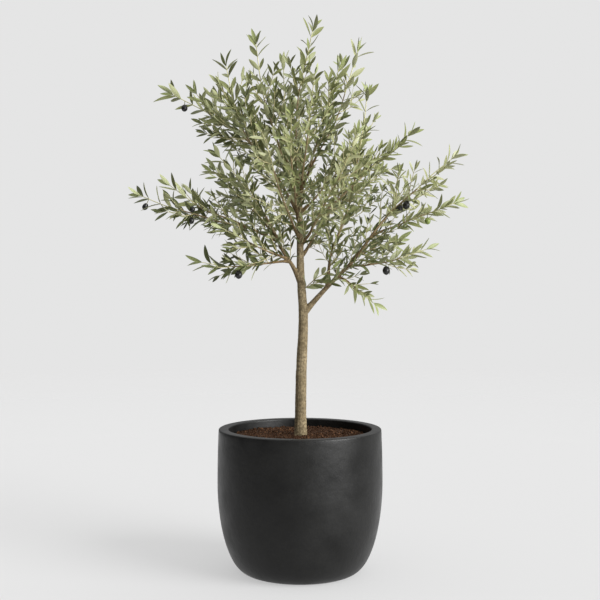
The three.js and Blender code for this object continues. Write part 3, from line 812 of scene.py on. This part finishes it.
def reliefOn(mesh, girth):
    # slow swellings, ridges round the limb, and ribs at the trunk's foot
    corners = readVectors(mesh.vertices, "co")
    normals = readVectors(mesh.vertex_normals, "vector")
    trunkFoot = limbs["trunk"][0][0]
    around, along = bark["ridgePace"]
    for i, (x, y, z) in enumerate(corners):
        place = Vector((x, y, z))
        thick = min(1.0, girth[i] / bark["fullRadius"])
        height = z / mm - trunkPlan["foot"]
        swell = noise.fractal(place * bark["swellPace"], 1.0, 2.0, 2) * bark["swell"]
        ridges = noise.fractal(Vector((x * around, y * around, z * along)), 1.0, 2.0, 2) * bark["ridges"]
        turn = math.atan2(y - trunkFoot[1] * mm, x - trunkFoot[0] * mm)
        wave = bark["fluteCount"] * turn + bark["fluteStray"] * noise.noise(place * bark["flutePace"])
        flutes = math.cos(wave) * bark["flutes"] * math.exp(-abs(height) / bark["fluteHeight"])
        outward = swell + ridges + flutes * (girth[i] > bark["fluteRadius"])
        corners[i] += normals[i] * outward * thick * mm
    mesh.vertices.foreach_set("co", corners.ravel())
    mesh.update()


skin = barkMesh()
girth = nearestGirth(readVectors(skin.vertices, "co") / mm - footLift)
reliefOn(skin, girth)
maturity = np.minimum(girth / bark["matureRadius"], 1).astype(np.float32)
skin.attributes.new("girth", "FLOAT", "POINT").data.foreach_set("value", maturity)
limbSkin = addObject("limbs", skin, [barkFinish()])
limbSkin.data.shade_smooth()
dress(limbSkin, "bark", *limbs)
print(f"bark made: {len(skin.polygons)} faces")


# twigs

twigs = {
    # these are the coarse masses' own, so that both grow alike
    "stemSteps": 5,
    "stemWaver": 3,
    "waverShift": 0.61,
    "firstShare": 0.08,
    "lastShare": 0.8,
    "placeStray": (0.3, 0.7),
    "lean": 46,
    "turnOnward": 137.5,
    "turnStray": 16,
    "otherSides": [0, 70, -70, 140, -140],
    "evenLength": 1,  # a side has to offer this much more than the last
    "followStem": 0.16,
    "followLight": 0.1,
    "shortening": 0.45,
    "sizes": (0.86, 1.1),
    "shortest": 30,
    "clearance": 0.3,
    "limbGap": 1.5,  # twigs stay this far from the trunk and the boughs
    "neighbourGap": 2.4,  # and this much nearer to their own stem than to any other
    # the finer twigs between
    "fineGap": 25,  # one side twig to each of these lengths of stem
    "fullSpread": 86,  # narrower sprays have fewer
    "fineShares": (0.02, 0.64),
    "fineStray": (0.2, 0.8),
    "fineSize": (0.6, 1.0),
    "fineSeed": 500,
    "fineShortest": 14,
    "upright": 0.7,  # every other twig of a stem that rises more than this goes to the front or the back
    "deepTries": 4,
    "deepSize": (0.85, 1.1),
    "shootStart": (14, 40),
    "shootEnd": 24,  # no shoots on a twig's last length
    "shootGap": 46,
    "shootStray": (0.7, 1.3),
    "shootLength": (24, 44),
    "shootShortening": 0.4,
    "shootShortest": 9,
    # radii
    "stemFit": 0.94,  # at its root, as a share of the limb's tip
    "sprigFoot": 1.4,
    "stemTip": 0.9,
    "stemTaper": 1.5,
    "sideRadius": 1.15,
    "sideTip": 0.6,
    "shootRadius": 0.75,
    "shootTip": 0.5,
    "stemRoot": 2,  # how far a stem starts inside its limb
    "stemReach": 17,  # how far it grows on past the coarse one's end
    "sideReach": 8,
    # leafy twigs straight from the limbs
    "limbTwigGap": 22,
    "limbTwigShares": {"trunk": (0.7, 0.98), "bough": (0.34, 0.98)},
    "limbTwigStray": (0.1, 0.9),
    "limbTurnStray": 30,
    "limbTwigLength": (40, 80),
    "limbSeed": 700,
    "rinds": {
        "stems": (0.23, 0.17, 0.09),
        "stem_tips": (0.5, 0.48, 0.26),
        "side_twigs": (0.42, 0.38, 0.2),
        "shoots": (0.46, 0.45, 0.24),
    },
}

# how a bough differs: its share of finer twigs, of twigs straight from its limb, its leaves' size and
# tones; the deep tone given to the sprays on the left, away from the key light, is painted shade
habits = {
    "front_bough": dict(fine=0.4, leaf=0.72),
    "front_high_bough": dict(fine=0.35, leaf=0.7),
    "front_left_bough": dict(fine=0.7, limb=2, leaf=0.78),
    "front_right_bough": dict(fine=0.7, limb=1.5, leaf=0.76),
    "back_high_bough": dict(fine=0.6, leaf=0.85),
    "right_bough": dict(limb=2.6, tones=("grey", "middle")),
    "right_middle_bough": dict(tones=("grey", "middle")),
    "right_low_bough": dict(tones=("grey", "middle")),
    "inner_right_bough": dict(limb=3, leaf=0.85),
    "right_high_bough": dict(limb=2),
    "back_right_bough": dict(limb=2),
    "left_bough": dict(limb=2.2, tones=("deep_and_shaded", "middle")),
    "left_back_bough": dict(limb=2.2, tones=("deep_and_shaded", "middle")),
    "left_arm": dict(limb=1.6, fine=1.5, leaf=1.1, tones=("deep_and_shaded", "deep_and_shaded")),
    "left_arm_fork": dict(fine=1.3, leaf=1.1, tones=("deep_and_shaded", "middle")),
    "left_inner_bough": dict(limb=2, tones=("deep_and_shaded", "middle")),
    "left_low_bough": dict(fine=1.6, leaf=1.12, tones=("deep_and_shaded", "deep_and_shaded")),
    "upper_left_bough": dict(fine=1.7, leaf=1.12, tones=("middle", "deep_and_shaded")),
    "upper_left_fork": dict(fine=1.4, leaf=1.08),
    "centre_leader": dict(fine=0.65, tones=("deep_and_shaded", "middle")),
    "left_leader": dict(fine=0.8, tones=("deep_and_shaded", "middle")),
    "left_leader_fork": dict(fine=0.65, tones=("deep_and_shaded", "grey")),
    "trunk": dict(limb=0.6),
}


def habitOf(name, trait, usual=1):
    return habits.get(name, {}).get(trait, usual)


masses = {**boughs, **sprigs}
stems = {}
for i, (name, plan) in enumerate(masses.items()):
    if name in limbs:
        start = limbs[name][0][-1] + courseAt(limbs[name][0], 1) * twigs["clearance"]
    else:
        start = pointAt(limbs[plan["on"]][0], plan["at"])
    course = {**plan["spray"], "turn": plan["turn"] + plan.get("sweep", 0),
              "rise": plan.get("riseEnd", plan["rise"]), "waver": twigs["stemWaver"]}
    stems[name] = coursePath(start, course, twigs["stemSteps"], i * twigs["waverShift"])

limbStarts = np.vstack([path[:-1] for path, _ in limbs.values()])
limbCourses = np.vstack([np.diff(path, axis=0) for path, _ in limbs.values()])
limbRadiiStart = np.concatenate([radii[:-1] for _, radii in limbs.values()])
limbRadiiEnd = np.concatenate([radii[1:] for _, radii in limbs.values()])
stemStarts = np.vstack([path[:-1] for path in stems.values()])
stemCourses = np.vstack([np.diff(path, axis=0) for path in stems.values()])
stemNames = list(stems)


def distances(points, starts, courses):
    # each point's distance to each straight step, and where on the step it is nearest
    apart = points[:, None] - starts[None]
    share = np.clip((apart * courses).sum(2) / (courses * courses).sum(1), 0, 1)
    return np.linalg.norm(apart - share[..., None] * courses, axis=2), share


def clearOfLimbs(points, gap):
    distance, share = distances(points, limbStarts, limbCourses)
    radii = np.where(share < 0.5, limbRadiiStart, limbRadiiEnd)
    return bool((distance >= radii + gap).all())


def isOwnSpace(points, name):
    # nearer to its own stem than to any other by the neighbours' gap
    distance, _ = distances(points, stemStarts, stemCourses)
    nearest = distance.reshape(len(points), len(stemNames), -1).min(2)
    own = nearest[:, stemNames.index(name)].copy()
    nearest[:, stemNames.index(name)] = np.inf
    return bool((nearest.min(1) > own + twigs["neighbourGap"]).all())


def sideTwig(name, path, share, roll, length, steps):
    # leaves its stem at a lean, bends back along it and up to the light, and ends where its space does
    along = courseAt(path, share)
    lean = math.radians(twigs["lean"])
    direction = along * math.cos(lean) + outwardsFrom(along, roll) * math.sin(lean)
    points = [pointAt(path, share)]
    for _ in range(steps):
        onward = points[-1] + direction * length / steps
        if not clearOfLimbs(onward[None], twigs["limbGap"]):
            break
        if name in stems and not isOwnSpace(onward[None], name):
            break
        points.append(onward)
        direction = unit(direction + along * twigs["followStem"] + up * twigs["followLight"])
    return np.array(points)


def openSideTwig(name, path, share, roll, length, steps=2):
    # the side with the most room, starting from the one that is its turn
    best = sideTwig(name, path, share, roll + twigs["otherSides"][0], length, steps)
    for turn in twigs["otherSides"][1:]:
        if pathLength(best) > length - twigs["evenLength"]:
            break
        tried = sideTwig(name, path, share, roll + turn, length, steps)
        if pathLength(tried) > pathLength(best) + twigs["evenLength"]:
            best = tried
    return best


def growSpray(seed, name):
    # the mass's own side twigs by the same draws, then finer ones between them, and shoots on those
    plan, stem = masses[name], stems[name]
    spray = plan["spray"]
    draw = makeDraw(seed)
    grown = []
    for i in range(spray["twigs"]):
        place = (i + draw(*twigs["placeStray"])) / spray["twigs"]
        share = mix(twigs["firstShare"], twigs["lastShare"], place)
        length = spray["spread"] * (1 - twigs["shortening"] * share) * draw(*twigs["sizes"])
        roll = spray["roll"] + i * twigs["turnOnward"] + draw(-twigs["turnStray"], twigs["turnStray"])
        path = openSideTwig(name, stem, share, roll, length)
        if pathLength(path) > twigs["shortest"]:
            grown.append((share, path))
    draw = makeDraw(seed + twigs["fineSeed"])
    first, last = twigs["fineShares"]
    fineness = min(1, spray["spread"] / twigs["fullSpread"]) * habitOf(name, "fine")
    count = round(spray["length"] * (last - first) / twigs["fineGap"] * fineness)
    for i in range(count):
        share = mix(first, last, (i + draw(*twigs["fineStray"])) / count)
        length = spray["spread"] * (1 - twigs["shortening"] * share)
        along = courseAt(stem, share)
        roll = draw(0, 360)
        if along[2] > twigs["upright"] and i % 2:
            # the crown's middle is filled out to the front and the back
            rolls = [draw(0, 360) for _ in range(twigs["deepTries"])]
            roll = max(rolls, key=lambda side: abs(outwardsFrom(along, side)[1]))
            length *= draw(*twigs["deepSize"])
        else:
            length *= draw(*twigs["fineSize"])
        path = openSideTwig(name, stem, share, roll, length, steps=3)
        if pathLength(path) > twigs["fineShortest"]:
            grown.append((share, path))
    shoots = []
    for share, path in grown:
        length = pathLength(path)
        place = draw(*twigs["shootStart"])
        while place < length - twigs["shootEnd"]:
            size = draw(*twigs["shootLength"]) * (1 - twigs["shootShortening"] * place / length)
            shoot = openSideTwig(name, path, place / length, draw(0, 360), size)
            if pathLength(shoot) > twigs["shootShortest"]:
                shoots.append((share, shoot))
            place += draw(*twigs["shootStray"]) * twigs["shootGap"]
    return grown, shoots


def growOnLimb(seed, name):
    # these leave the limb itself, so no stem's space binds them
    path = limbs[name][0]
    draw = makeDraw(seed)
    first, last = twigs["limbTwigShares"]["trunk" if name == "trunk" else "bough"]
    count = max(1, round(pathLength(path) * (last - first) / twigs["limbTwigGap"] * habitOf(name, "limb")))
    grown = []
    for i in range(count):
        share = mix(first, last, (i + draw(*twigs["limbTwigStray"])) / count)
        length = draw(*twigs["limbTwigLength"])
        roll = i * twigs["turnOnward"] + draw(-twigs["limbTurnStray"], twigs["limbTurnStray"])
        twig = openSideTwig(None, path, share, roll, length, steps=3)
        if pathLength(twig) > twigs["fineShortest"]:
            grown.append(twig)
    return grown


def grownOn(path, reach):
    # a path with a last step more
    return np.vstack((path, path[-1] + courseAt(path, 1) * reach))


sprays = {name: growSpray(i + 1, name) for i, name in enumerate(masses)}
limbTwigs = {name: growOnLimb(i + twigs["limbSeed"], name) for i, name in enumerate(limbs)}
print("twigs grown:", sum(len(grown) for grown, _ in sprays.values()),
      "shoots:", sum(len(shoots) for _, shoots in sprays.values()),
      "on limbs:", sum(len(grown) for grown in limbTwigs.values()))


# leaves

blade = {
    "length": 47,
    "width": 12.2,
    "thickness": 0.7,  # at the midrib
    "ribShares": (0.01, 0.97),
    "rows": 8,
    "rowEase": 0.9,  # below 1 the rows draw together towards the tip
    # share of the length, and half width there as a share of the widest
    "outline": [
        (0, 0.1), (0.06, 0.16), (0.16, 0.56), (0.32, 0.93), (0.5, 1), (0.7, 0.84), (0.87, 0.46), (1, 0),
    ],
    "fold": 14,  # degrees that each half rises from the midrib
    # the upper and the under side's roughness and specular
    "topSheen": (0.45, 0.45),
    "underSheen": (0.6, 0.3),
}

# how far the tip bends down and to the side, as a share of the length, and how far the blade twists
bladeForms = [
    dict(drop=0.05, sickle=0.0, twist=0),
    dict(drop=0.16, sickle=0.05, twist=14),
    dict(drop=-0.08, sickle=-0.06, twist=-12),
    dict(drop=0.26, sickle=0.04, twist=-22),
    dict(drop=0.02, sickle=0.1, twist=26),
]

leafing = {
    "gap": 25,  # between pairs of full size
    "tipGap": 20,  # and between the last ones of a twig
    "smallGap": 0.5,  # and between pairs of no size, as a share
    "gapStray": (0.9, 1.1),
    "leastEnd": 0.6,  # the pair before last keeps this share of the gap from the end
    "endGap": 0.5,
    "grading": 40,  # the pairs draw together and shrink over this last length
    "tipSize": 0.8,
    "sizes": (0.84, 1.1),
    "bare": {"stem": 14, "side": 9, "shoot": 6},  # length without leaves at the foot
    "stalk": 0.2,
    "splay": (32, 54),
    "tipSplay": 19,
    "splayStray": 5,
    "firstRoll": (28, 62),  # of a twig's first pair
    "rollStray": 14,
    "facingTwig": 0.5,  # how far the upper face turns to its own twig
    # and up, to the front, out from the middle of the crown, and by chance
    "facingUp": 0.3,
    "facingFront": 0.5,
    "facingOut": 0.45,
    "facingStray": 0.6,
    "limbGap": 0.8,
    "probes": (0.35, 0.7, 1.0),  # where along the blade that gap is kept
    "firstTone": 0.62,  # share of a spray's twigs in the first of its two tones
    "innerShadeShare": 0.45,  # beyond this share of a stem no leaves take the deep tone, which paints shade inside the crown
    "youngShare": 0.7,  # and beyond this one the last ones are young
    "youngGrade": 0.5,
    # sizes near the stem's foot and near its tip
    "stemShare": 0.85,
    "sideSize": (0.6, 0.92),
    "shootSize": (0.55, 0.85),
    "limbSize": 0.66,
    "seed": 900,
    "limbSeed": 1300,
    # twigs straight from the limbs grow inside the crown, and most of their leaves take the deep tone as
    # painted shade
    "limbTones": ("deep_and_shaded", "middle"),
    "usualTones": [("deep_and_shaded", "middle"), ("middle", "grey"), ("deep_and_shaded", "grey"), ("middle", "deep_and_shaded")],
}


def leafShape(form):
    # a strip two faces wide, cut to the outline, folded, bent, and closed with a second layer underneath
    bm = bmesh.new()
    bmesh.ops.create_grid(bm, x_segments=2, y_segments=blade["rows"], size=1)
    shares, halves = zip(*blade["outline"])
    for vert in bm.verts:
        share = ((vert.co.y + 1) / 2) ** blade["rowEase"]
        half = np.interp(share, shares, halves) * blade["width"] / 2
        vert.co = Vector((vert.co.x * half, share * blade["length"], abs(vert.co.x) * half))
    lift = math.tan(math.radians(blade["fold"]))
    under = bmesh.ops.duplicate(bm, geom=bm.verts[:] + bm.edges[:] + bm.faces[:])["geom"]
    underFaces = [item for item in under if isinstance(item, bmesh.types.BMFace)]
    underVerts = [item for item in under if isinstance(item, bmesh.types.BMVert)]
    bmesh.ops.reverse_faces(bm, faces=underFaces)
    for vert in bm.verts:
        vert.co.z *= lift
    ribStart, ribEnd = blade["ribShares"]
    for vert in underVerts:
        isOnMidrib = abs(vert.co.x) < 0.01
        if isOnMidrib and ribStart < vert.co.y / blade["length"] < ribEnd:
            vert.co.z -= blade["thickness"]
    for face in underFaces:
        face.material_index = 1
    bmesh.ops.remove_doubles(bm, verts=bm.verts, dist=0.05)
    for vert in bm.verts:
        share = vert.co.y / blade["length"]
        twist = math.radians(form["twist"]) * share
        x, z = vert.co.x, vert.co.z
        vert.co.x = x * math.cos(twist) - z * math.sin(twist) + form["sickle"] * blade["length"] * share**2
        vert.co.z = x * math.sin(twist) + z * math.cos(twist) - form["drop"] * blade["length"] * share**2
    bmesh.ops.recalc_face_normals(bm, faces=bm.faces)
    return cornersAndFaces(bm)


def leavesAlong(path, stemShare, draw, size, tones, kind="side"):
    # opposite pairs, each about a quarter turn on, smaller and closer by the tip, where they point onwards
    length = pathLength(path)
    tone = tones[0] if draw(0, 1) < leafing["firstTone"] else tones[1]
    # the deep tone stays near the stem's foot as painted shade inside the crown, unless the spray is deep
    # all through
    if tone == "deep_and_shaded" and stemShare > leafing["innerShadeShare"] and tones != ("deep_and_shaded", "deep_and_shaded"):
        tone = "middle"
    roll = draw(*leafing["firstRoll"])
    places = [leafing["bare"][kind]]
    while places[-1] < length - leafing["tipGap"] * leafing["leastEnd"]:
        grade = min(1, (length - places[-1]) / leafing["grading"])
        gap = mix(leafing["tipGap"], leafing["gap"], grade) * mix(leafing["smallGap"], 1, size)
        places.append(places[-1] + gap * draw(*leafing["gapStray"]))
    places[-1] = length - leafing["endGap"]
    for place in places:
        share = place / length
        grade = min(1, (length - place) / leafing["grading"])
        along = courseAt(path, min(share, 1))
        root = pointAt(path, share)
        isYoung = stemShare > leafing["youngShare"] and grade < leafing["youngGrade"]
        outLook = up * leafing["facingUp"] - back * leafing["facingFront"]
        outLook = outLook + unit(root * (1, 1, 0) + 1e-6) * leafing["facingOut"]
        for side in (1, -1):
            outwards = outwardsFrom(along, roll) * side
            splay = mix(leafing["tipSplay"], draw(*leafing["splay"]), grade ** 0.5)
            splay = math.radians(splay + draw(-leafing["splayStray"], leafing["splayStray"]))
            direction = along * math.cos(splay) + outwards * math.sin(splay)
            faceUp = along * math.sin(splay) - outwards * math.cos(splay)
            chance = np.array([draw(-1, 1) for _ in range(3)])
            turned = faceUp * leafing["facingTwig"] + outLook + leafing["facingStray"] * chance
            across = unit(np.cross(direction, turned))
            faceUp = np.cross(across, direction)
            scale = size * draw(*leafing["sizes"]) * mix(leafing["tipSize"], 1, grade)
            reach = direction * blade["length"] * scale
            probes = root + np.array(leafing["probes"])[:, None] * reach
            form = int(draw(0, len(bladeForms)))
            if not clearOfLimbs(probes, leafing["limbGap"]):
                continue
            turn = np.stack((across, direction, faceUp), axis=1) * scale
            leaves.append(("young" if isYoung else tone, form, turn, root + direction * leafing["stalk"]))
        roll += 90 + draw(-leafing["rollStray"], leafing["rollStray"])


leaves = []
for i, (name, (grown, shoots)) in enumerate(sprays.items()):
    draw = makeDraw(i + leafing["seed"])
    tones = habitOf(name, "tones", leafing["usualTones"][i % len(leafing["usualTones"])])
    stem = grownOn(stems[name], twigs["stemReach"])
    full = habitOf(name, "leaf")
    leavesAlong(rounded(stem, np.ones(len(stem)), 4)[0], leafing["stemShare"], draw, full, tones, "stem")
    for share, path in grown:
        size = mix(*leafing["sideSize"], share) * full
        leavesAlong(grownOn(path, twigs["sideReach"]), share, draw, size, tones)
    for share, path in shoots:
        leavesAlong(path, share, draw, mix(*leafing["shootSize"], share) * full, tones, "shoot")
for i, grown in enumerate(limbTwigs.values()):
    draw = makeDraw(i + leafing["limbSeed"])
    for path in grown:
        leavesAlong(path, 0, draw, leafing["limbSize"], leafing["limbTones"])

# each tone's upper side and under side; the deep tone is partly darker leaves and partly painted shade,
# dealt inside the crown and on the left, away from the key light
leafTones = {
    "deep_and_shaded": ((0.095, 0.11, 0.038), (0.21, 0.22, 0.11)),
    "middle": ((0.18, 0.195, 0.075), (0.31, 0.325, 0.175)),
    "grey": ((0.29, 0.3, 0.15), (0.42, 0.43, 0.265)),
    "young": ((0.22, 0.25, 0.095), (0.335, 0.36, 0.19)),
}

massNodes = [f"{name.replace('_bough', '')}_foliage" for name in masses]
shapes = [leafShape(form) for form in bladeForms]
for toneName, (top, under) in leafTones.items():
    groups = []
    for k, shape in enumerate(shapes):
        chosen = [leaf for leaf in leaves if leaf[0] == toneName and leaf[1] == k]
        groups.append((shape, [leaf[2] for leaf in chosen], [leaf[3] + footLift for leaf in chosen]))
    finishes = [
        plainFinish(f"leaf_{toneName}", top, *blade["topSheen"]),
        plainFinish(f"leaf_{toneName}_under", under, *blade["underSheen"]),
    ]
    name = f"leaves_{toneName}"
    dress(addObject(name, copiesMesh(name, groups, sharpAngle=60), finishes), "foliage", *massNodes)
print("leaves:", len(leaves))


# twigs as tubes


def tapered(path, radius, tip, parts=3):
    return rounded(path, np.linspace(radius, tip, len(path)), parts)


def addTwigs(name, runs, colour, sides):
    mesh = tubeMesh(name, runs, sides)
    piece = addObject(name, mesh, [plainFinish(f"{name}_rind", colour, 0.6, specular=0.35)])
    piece.data.shade_smooth()
    dress(piece, "foliage", *massNodes)


stemRuns, stemTipRuns, sideRuns, shootRuns = [], [], [], []
for name, (grown, shoots) in sprays.items():
    thick = masses[name].get("tip", twigs["sprigFoot"]) * twigs["stemFit"]
    stem = grownOn(stems[name], twigs["stemReach"])
    points, _ = rounded(stem, np.ones(len(stem)), 6)
    taper = np.linspace(1, 0, len(points)) ** twigs["stemTaper"]
    radii = twigs["stemTip"] + (thick - twigs["stemTip"]) * taper
    middle = len(points) // 2
    points[0] = points[0] - courseAt(points, 0) * twigs["stemRoot"]
    stemRuns.append((points[:middle + 1], radii[:middle + 1]))
    stemTipRuns.append((points[middle:], radii[middle:]))
    for _, path in grown:
        path = grownOn(path, twigs["sideReach"])
        sideRuns.append(tapered(path, twigs["sideRadius"], twigs["sideTip"]))
    for _, path in shoots:
        shootRuns.append(tapered(path, twigs["shootRadius"], twigs["shootTip"], 2))
for grown in limbTwigs.values():
    sideRuns.extend(tapered(path, twigs["sideRadius"], twigs["sideTip"]) for path in grown)
allRuns = (stemRuns, stemTipRuns, sideRuns, shootRuns)
for (name, colour), runs, sides in zip(twigs["rinds"].items(), allRuns, (8, 6, 6, 4)):
    addTwigs(name, runs, colour, sides)
print("twig tubes made")


# olives

olive = {
    "length": 22,
    "width": 17.5,
    "fullness": (0.1, 0.05),  # a little fuller towards the tip
    # how far the tip stands out and the stalk's end sinks in, and where each starts and over what share
    "point": (0.9, 0.93, 0.07),
    "dimple": (0.8, 0.9, 0.1),
    "stalk": 11,
    "stalkSink": 1.5,
    "stalkRadius": 0.8,
    "stalkSpread": 1.2,
    "stalkColour": (0.2, 0.2, 0.08),
    "hang": -64,
    # colour, how much paler the bloom is, and roughness
    "finishes": {"ripe": ((0.006, 0.006, 0.0055), 1.6, 0.3), "green": ((0.17, 0.22, 0.05), 1.3, 0.32)},
    "bloomPlaces": (0.4, 0.72),
    "bloomDullness": [(0.35, -0.06), (0.7, 0.14)],
    "green": ["right_middle_bough"],
    "smaller": {
        "right_middle_bough": 0.82,
        "left_arm": 0.8,
        "left_arm_fork": 0.74,
        "upper_left_bough": 0.85,
    },
}


def oliveShape():
    bm = bmesh.new()
    bmesh.ops.create_uvsphere(bm, u_segments=24, v_segments=16, radius=1)
    lean, curve = olive["fullness"]
    pointDepth, pointStart, pointSpan = olive["point"]
    dimpleDepth, dimpleStart, dimpleSpan = olive["dimple"]
    for vert in bm.verts:
        along = vert.co.z
        fullness = 1 - lean * along - curve * along**2
        vert.co.x *= fullness * olive["width"] / 2
        vert.co.y *= fullness * olive["width"] / 2
        point = pointDepth * max(0, -along - pointStart) / pointSpan
        dimple = dimpleDepth * max(0, along - dimpleStart) / dimpleSpan
        vert.co.z = along * olive["length"] / 2 - point - dimple
    return cornersAndFaces(bm)


fruits = {"ripe": [], "green": []}
stalks = []
for name, plan in masses.items():
    for share, turn in plan.get("olives", ()):
        root = pointAt(stems[name], share)
        down = heading(turn, olive["hang"])
        ripeness = "green" if name in olive["green"] else "ripe"
        size = olive["smaller"].get(name, 1)
        side = outwardsFrom(down, 0)
        turned = np.stack((side, np.cross(-down, side), -down), axis=1) * size
        centre = root + down * (olive["stalk"] + olive["length"] / 2 * size)
        fruits[ripeness].append((turned, centre + footLift))
        stalkEnd = root + down * (olive["stalk"] + olive["stalkSink"])
        stalkRadii = [olive["stalkRadius"], olive["stalkRadius"] * olive["stalkSpread"]]
        stalks.append((np.array((root, stalkEnd)), stalkRadii))


def oliveFinish(ripeness):
    colour, paler, roughness = olive["finishes"][ripeness]
    material = plainFinish(f"{ripeness}_olive", colour, roughness)
    bloom = noiseOn(material, 130)
    colours = (colour, [channel * paler for channel in colour])
    feed(material, "Base Color", rampOn(material, bloom, list(zip(olive["bloomPlaces"], colours))))
    dullness = greys([(place, roughness + change) for place, change in olive["bloomDullness"]])
    feed(material, "Roughness", rampOn(material, bloom, dullness))
    return material


shape = oliveShape()
for ripeness, grown in fruits.items():
    group = (shape, [turn for turn, _ in grown], [place for _, place in grown])
    name = f"olives_{ripeness}"
    dress(addObject(name, copiesMesh(name, [group]), [oliveFinish(ripeness)]), "foliage")
addTwigs("olive_stalks", stalks, olive["stalkColour"], 6)
print("olives made")


# camera, light and floor

# lengths in metres, and angles in degrees
studio = {
    "cameraDistance": 2.575,
    "cameraHeight": 0.704,
    "aimHeight": 0.6556,
    "lens": 63.84,
    "backdrop": 0.783,
    "ambientWalls": (0.15, 0.46),  # the studio's dark front, and its walls behind the plant
    "ambientLeft": 0.3,  # the share of these that is left on the side away from the light
    "ambientAbove": 0.75,  # added overhead
    # where each starts and is full, as parts of a direction one long
    "behindSpan": (-0.6, 0.7),
    "leftSpan": (-0.8, 0.6),
    "aboveSpan": (0.1, 0.9),
    "keyTurn": 60,  # from the camera round to the right
    "keyRise": 27,
    "keyStrength": 3.0,
    "keySoftness": 36,
    "fillStrength": 1.35,  # the same way, without shadows
    "boxTurn": 47,  # a low soft box beside it, and where its edge fades
    "boxRise": 3,
    "boxEdge": (10, 28),
    "boxStrength": 4.3,
    "floorShade": 0.27,
    "floorGlow": 0.42,  # light of its own, so that shadows on it stay faint
    "floorRadius": 6.0,
    "floorFade": 0.4,  # beyond this share of it the floor grows clear
    "floorDrop": 0.0005,
}


def addCamera():
    camera = placed("camera", bpy.data.cameras.new("camera"))
    camera.data.lens = studio["lens"]
    camera.location = (0, -studio["cameraDistance"], studio["cameraHeight"])
    aim = Vector((0, 0, studio["aimHeight"])) - camera.location
    camera.rotation_euler = aim.to_track_quat("-Z", "Y").to_euler()
    bpy.context.scene.camera = camera


def addFloor():
    bm = bmesh.new()
    bmesh.ops.create_circle(bm, cap_ends=True, segments=96, radius=studio["floorRadius"])
    material = plainFinish("pale_floor", (studio["floorShade"],) * 3, 0.9, specular=0.0)
    shader = material.node_tree.nodes["Principled BSDF"]
    shader.inputs["Emission Color"].default_value = (1, 1, 1, 1)
    shader.inputs["Emission Strength"].default_value = studio["floorGlow"]
    place = addNode(material, "TexCoord").outputs["Object"]
    reach = addNode(material, "VectorMath", {0: place}, operation="LENGTH").outputs["Value"]
    fadeStart = studio["floorRadius"] * studio["floorFade"]
    span = {"Value": reach, "From Min": fadeStart, "From Max": studio["floorRadius"]}
    fade = addNode(material, "MapRange", span).outputs["Result"]
    clear = addNode(material, "BsdfTransparent").outputs["BSDF"]
    blend = addNode(material, "MixShader", {"Fac": fade, 1: shader.outputs["BSDF"], 2: clear})
    output = material.node_tree.nodes["Material Output"]
    material.node_tree.links.new(blend.outputs["Shader"], output.inputs["Surface"])
    floor = addObject("studio_floor", fromBmesh("studio_floor", bm), [material])
    floor.location.z = -studio["floorDrop"]


def lightCourse(turn, rise):
    # from the plant to a light, turned from the camera round to the right
    turn, rise = math.radians(turn), math.radians(rise)
    return Vector((math.sin(turn) * math.cos(rise), -math.cos(turn) * math.cos(rise), math.sin(rise)))


def addSun(name, strength, castsShadow):
    sun = bpy.data.lights.new(name, "SUN")
    sun.energy = strength
    sun.angle = math.radians(studio["keySoftness"])
    sun.use_shadow = castsShadow
    course = lightCourse(studio["keyTurn"], studio["keyRise"])
    placed(name, sun).rotation_euler = course.to_track_quat("Z", "Y").to_euler()


def spreadOn(world, value, span, low, high):
    # goes softly from low to high as the value crosses the span
    inputs = {"Value": value, "From Min": span[0], "From Max": span[1], "To Min": low, "To Max": high}
    return addNode(world, "MapRange", inputs, interpolation_type="SMOOTHSTEP").outputs["Result"]


def addWorld():
    # pale walls behind, a darker front, and a bright ceiling; what the camera sees past the floor is even
    world = bpy.data.worlds.new("studio")
    world.use_nodes = True
    bpy.context.scene.world = world
    place = addNode(world, "TexCoord").outputs["Generated"]
    parts = addNode(world, "SeparateXYZ", {"Vector": place}).outputs
    walls = spreadOn(world, parts["Y"], studio["behindSpan"], *studio["ambientWalls"])
    dimming = spreadOn(world, parts["X"], studio["leftSpan"], studio["ambientLeft"], 1)
    ceiling = spreadOn(world, parts["Z"], studio["aboveSpan"], 0, studio["ambientAbove"])
    boxCourse = lightCourse(studio["boxTurn"], studio["boxRise"])
    boxward = addNode(world, "VectorMath", {0: place, 1: boxCourse}, operation="DOT_PRODUCT")
    inner, outer = (math.cos(math.radians(edge)) for edge in studio["boxEdge"])
    box = spreadOn(world, boxward.outputs["Value"], (outer, inner), 0, studio["boxStrength"])
    dimmed = addNode(world, "Math", {0: walls, 1: dimming}, operation="MULTIPLY").outputs["Value"]
    lifted = addNode(world, "Math", {0: ceiling, 1: box}).outputs["Value"]
    total = addNode(world, "Math", {0: dimmed, 1: lifted}).outputs["Value"]
    light = world.node_tree.nodes["Background"]
    light.inputs["Color"].default_value = (1, 1, 1, 1)
    world.node_tree.links.new(total, light.inputs["Strength"])
    backdrop = addNode(world, "Background", {"Color": (*(studio["backdrop"],) * 3, 1)})
    isSeen = addNode(world, "LightPath").outputs["Is Camera Ray"]
    shades = {1: light.outputs["Background"], 2: backdrop.outputs["Background"]}
    blend = addNode(world, "MixShader", {"Fac": isSeen, **shades})
    output = world.node_tree.nodes["World Output"]
    world.node_tree.links.new(blend.outputs["Shader"], output.inputs["Surface"])


addCamera()
addFloor()
addSun("soft_key", studio["keyStrength"], True)
addSun("soft_fill", studio["fillStrength"], False)
addWorld()
bpy.context.scene.view_settings.view_transform = "Standard"
print("studio made")
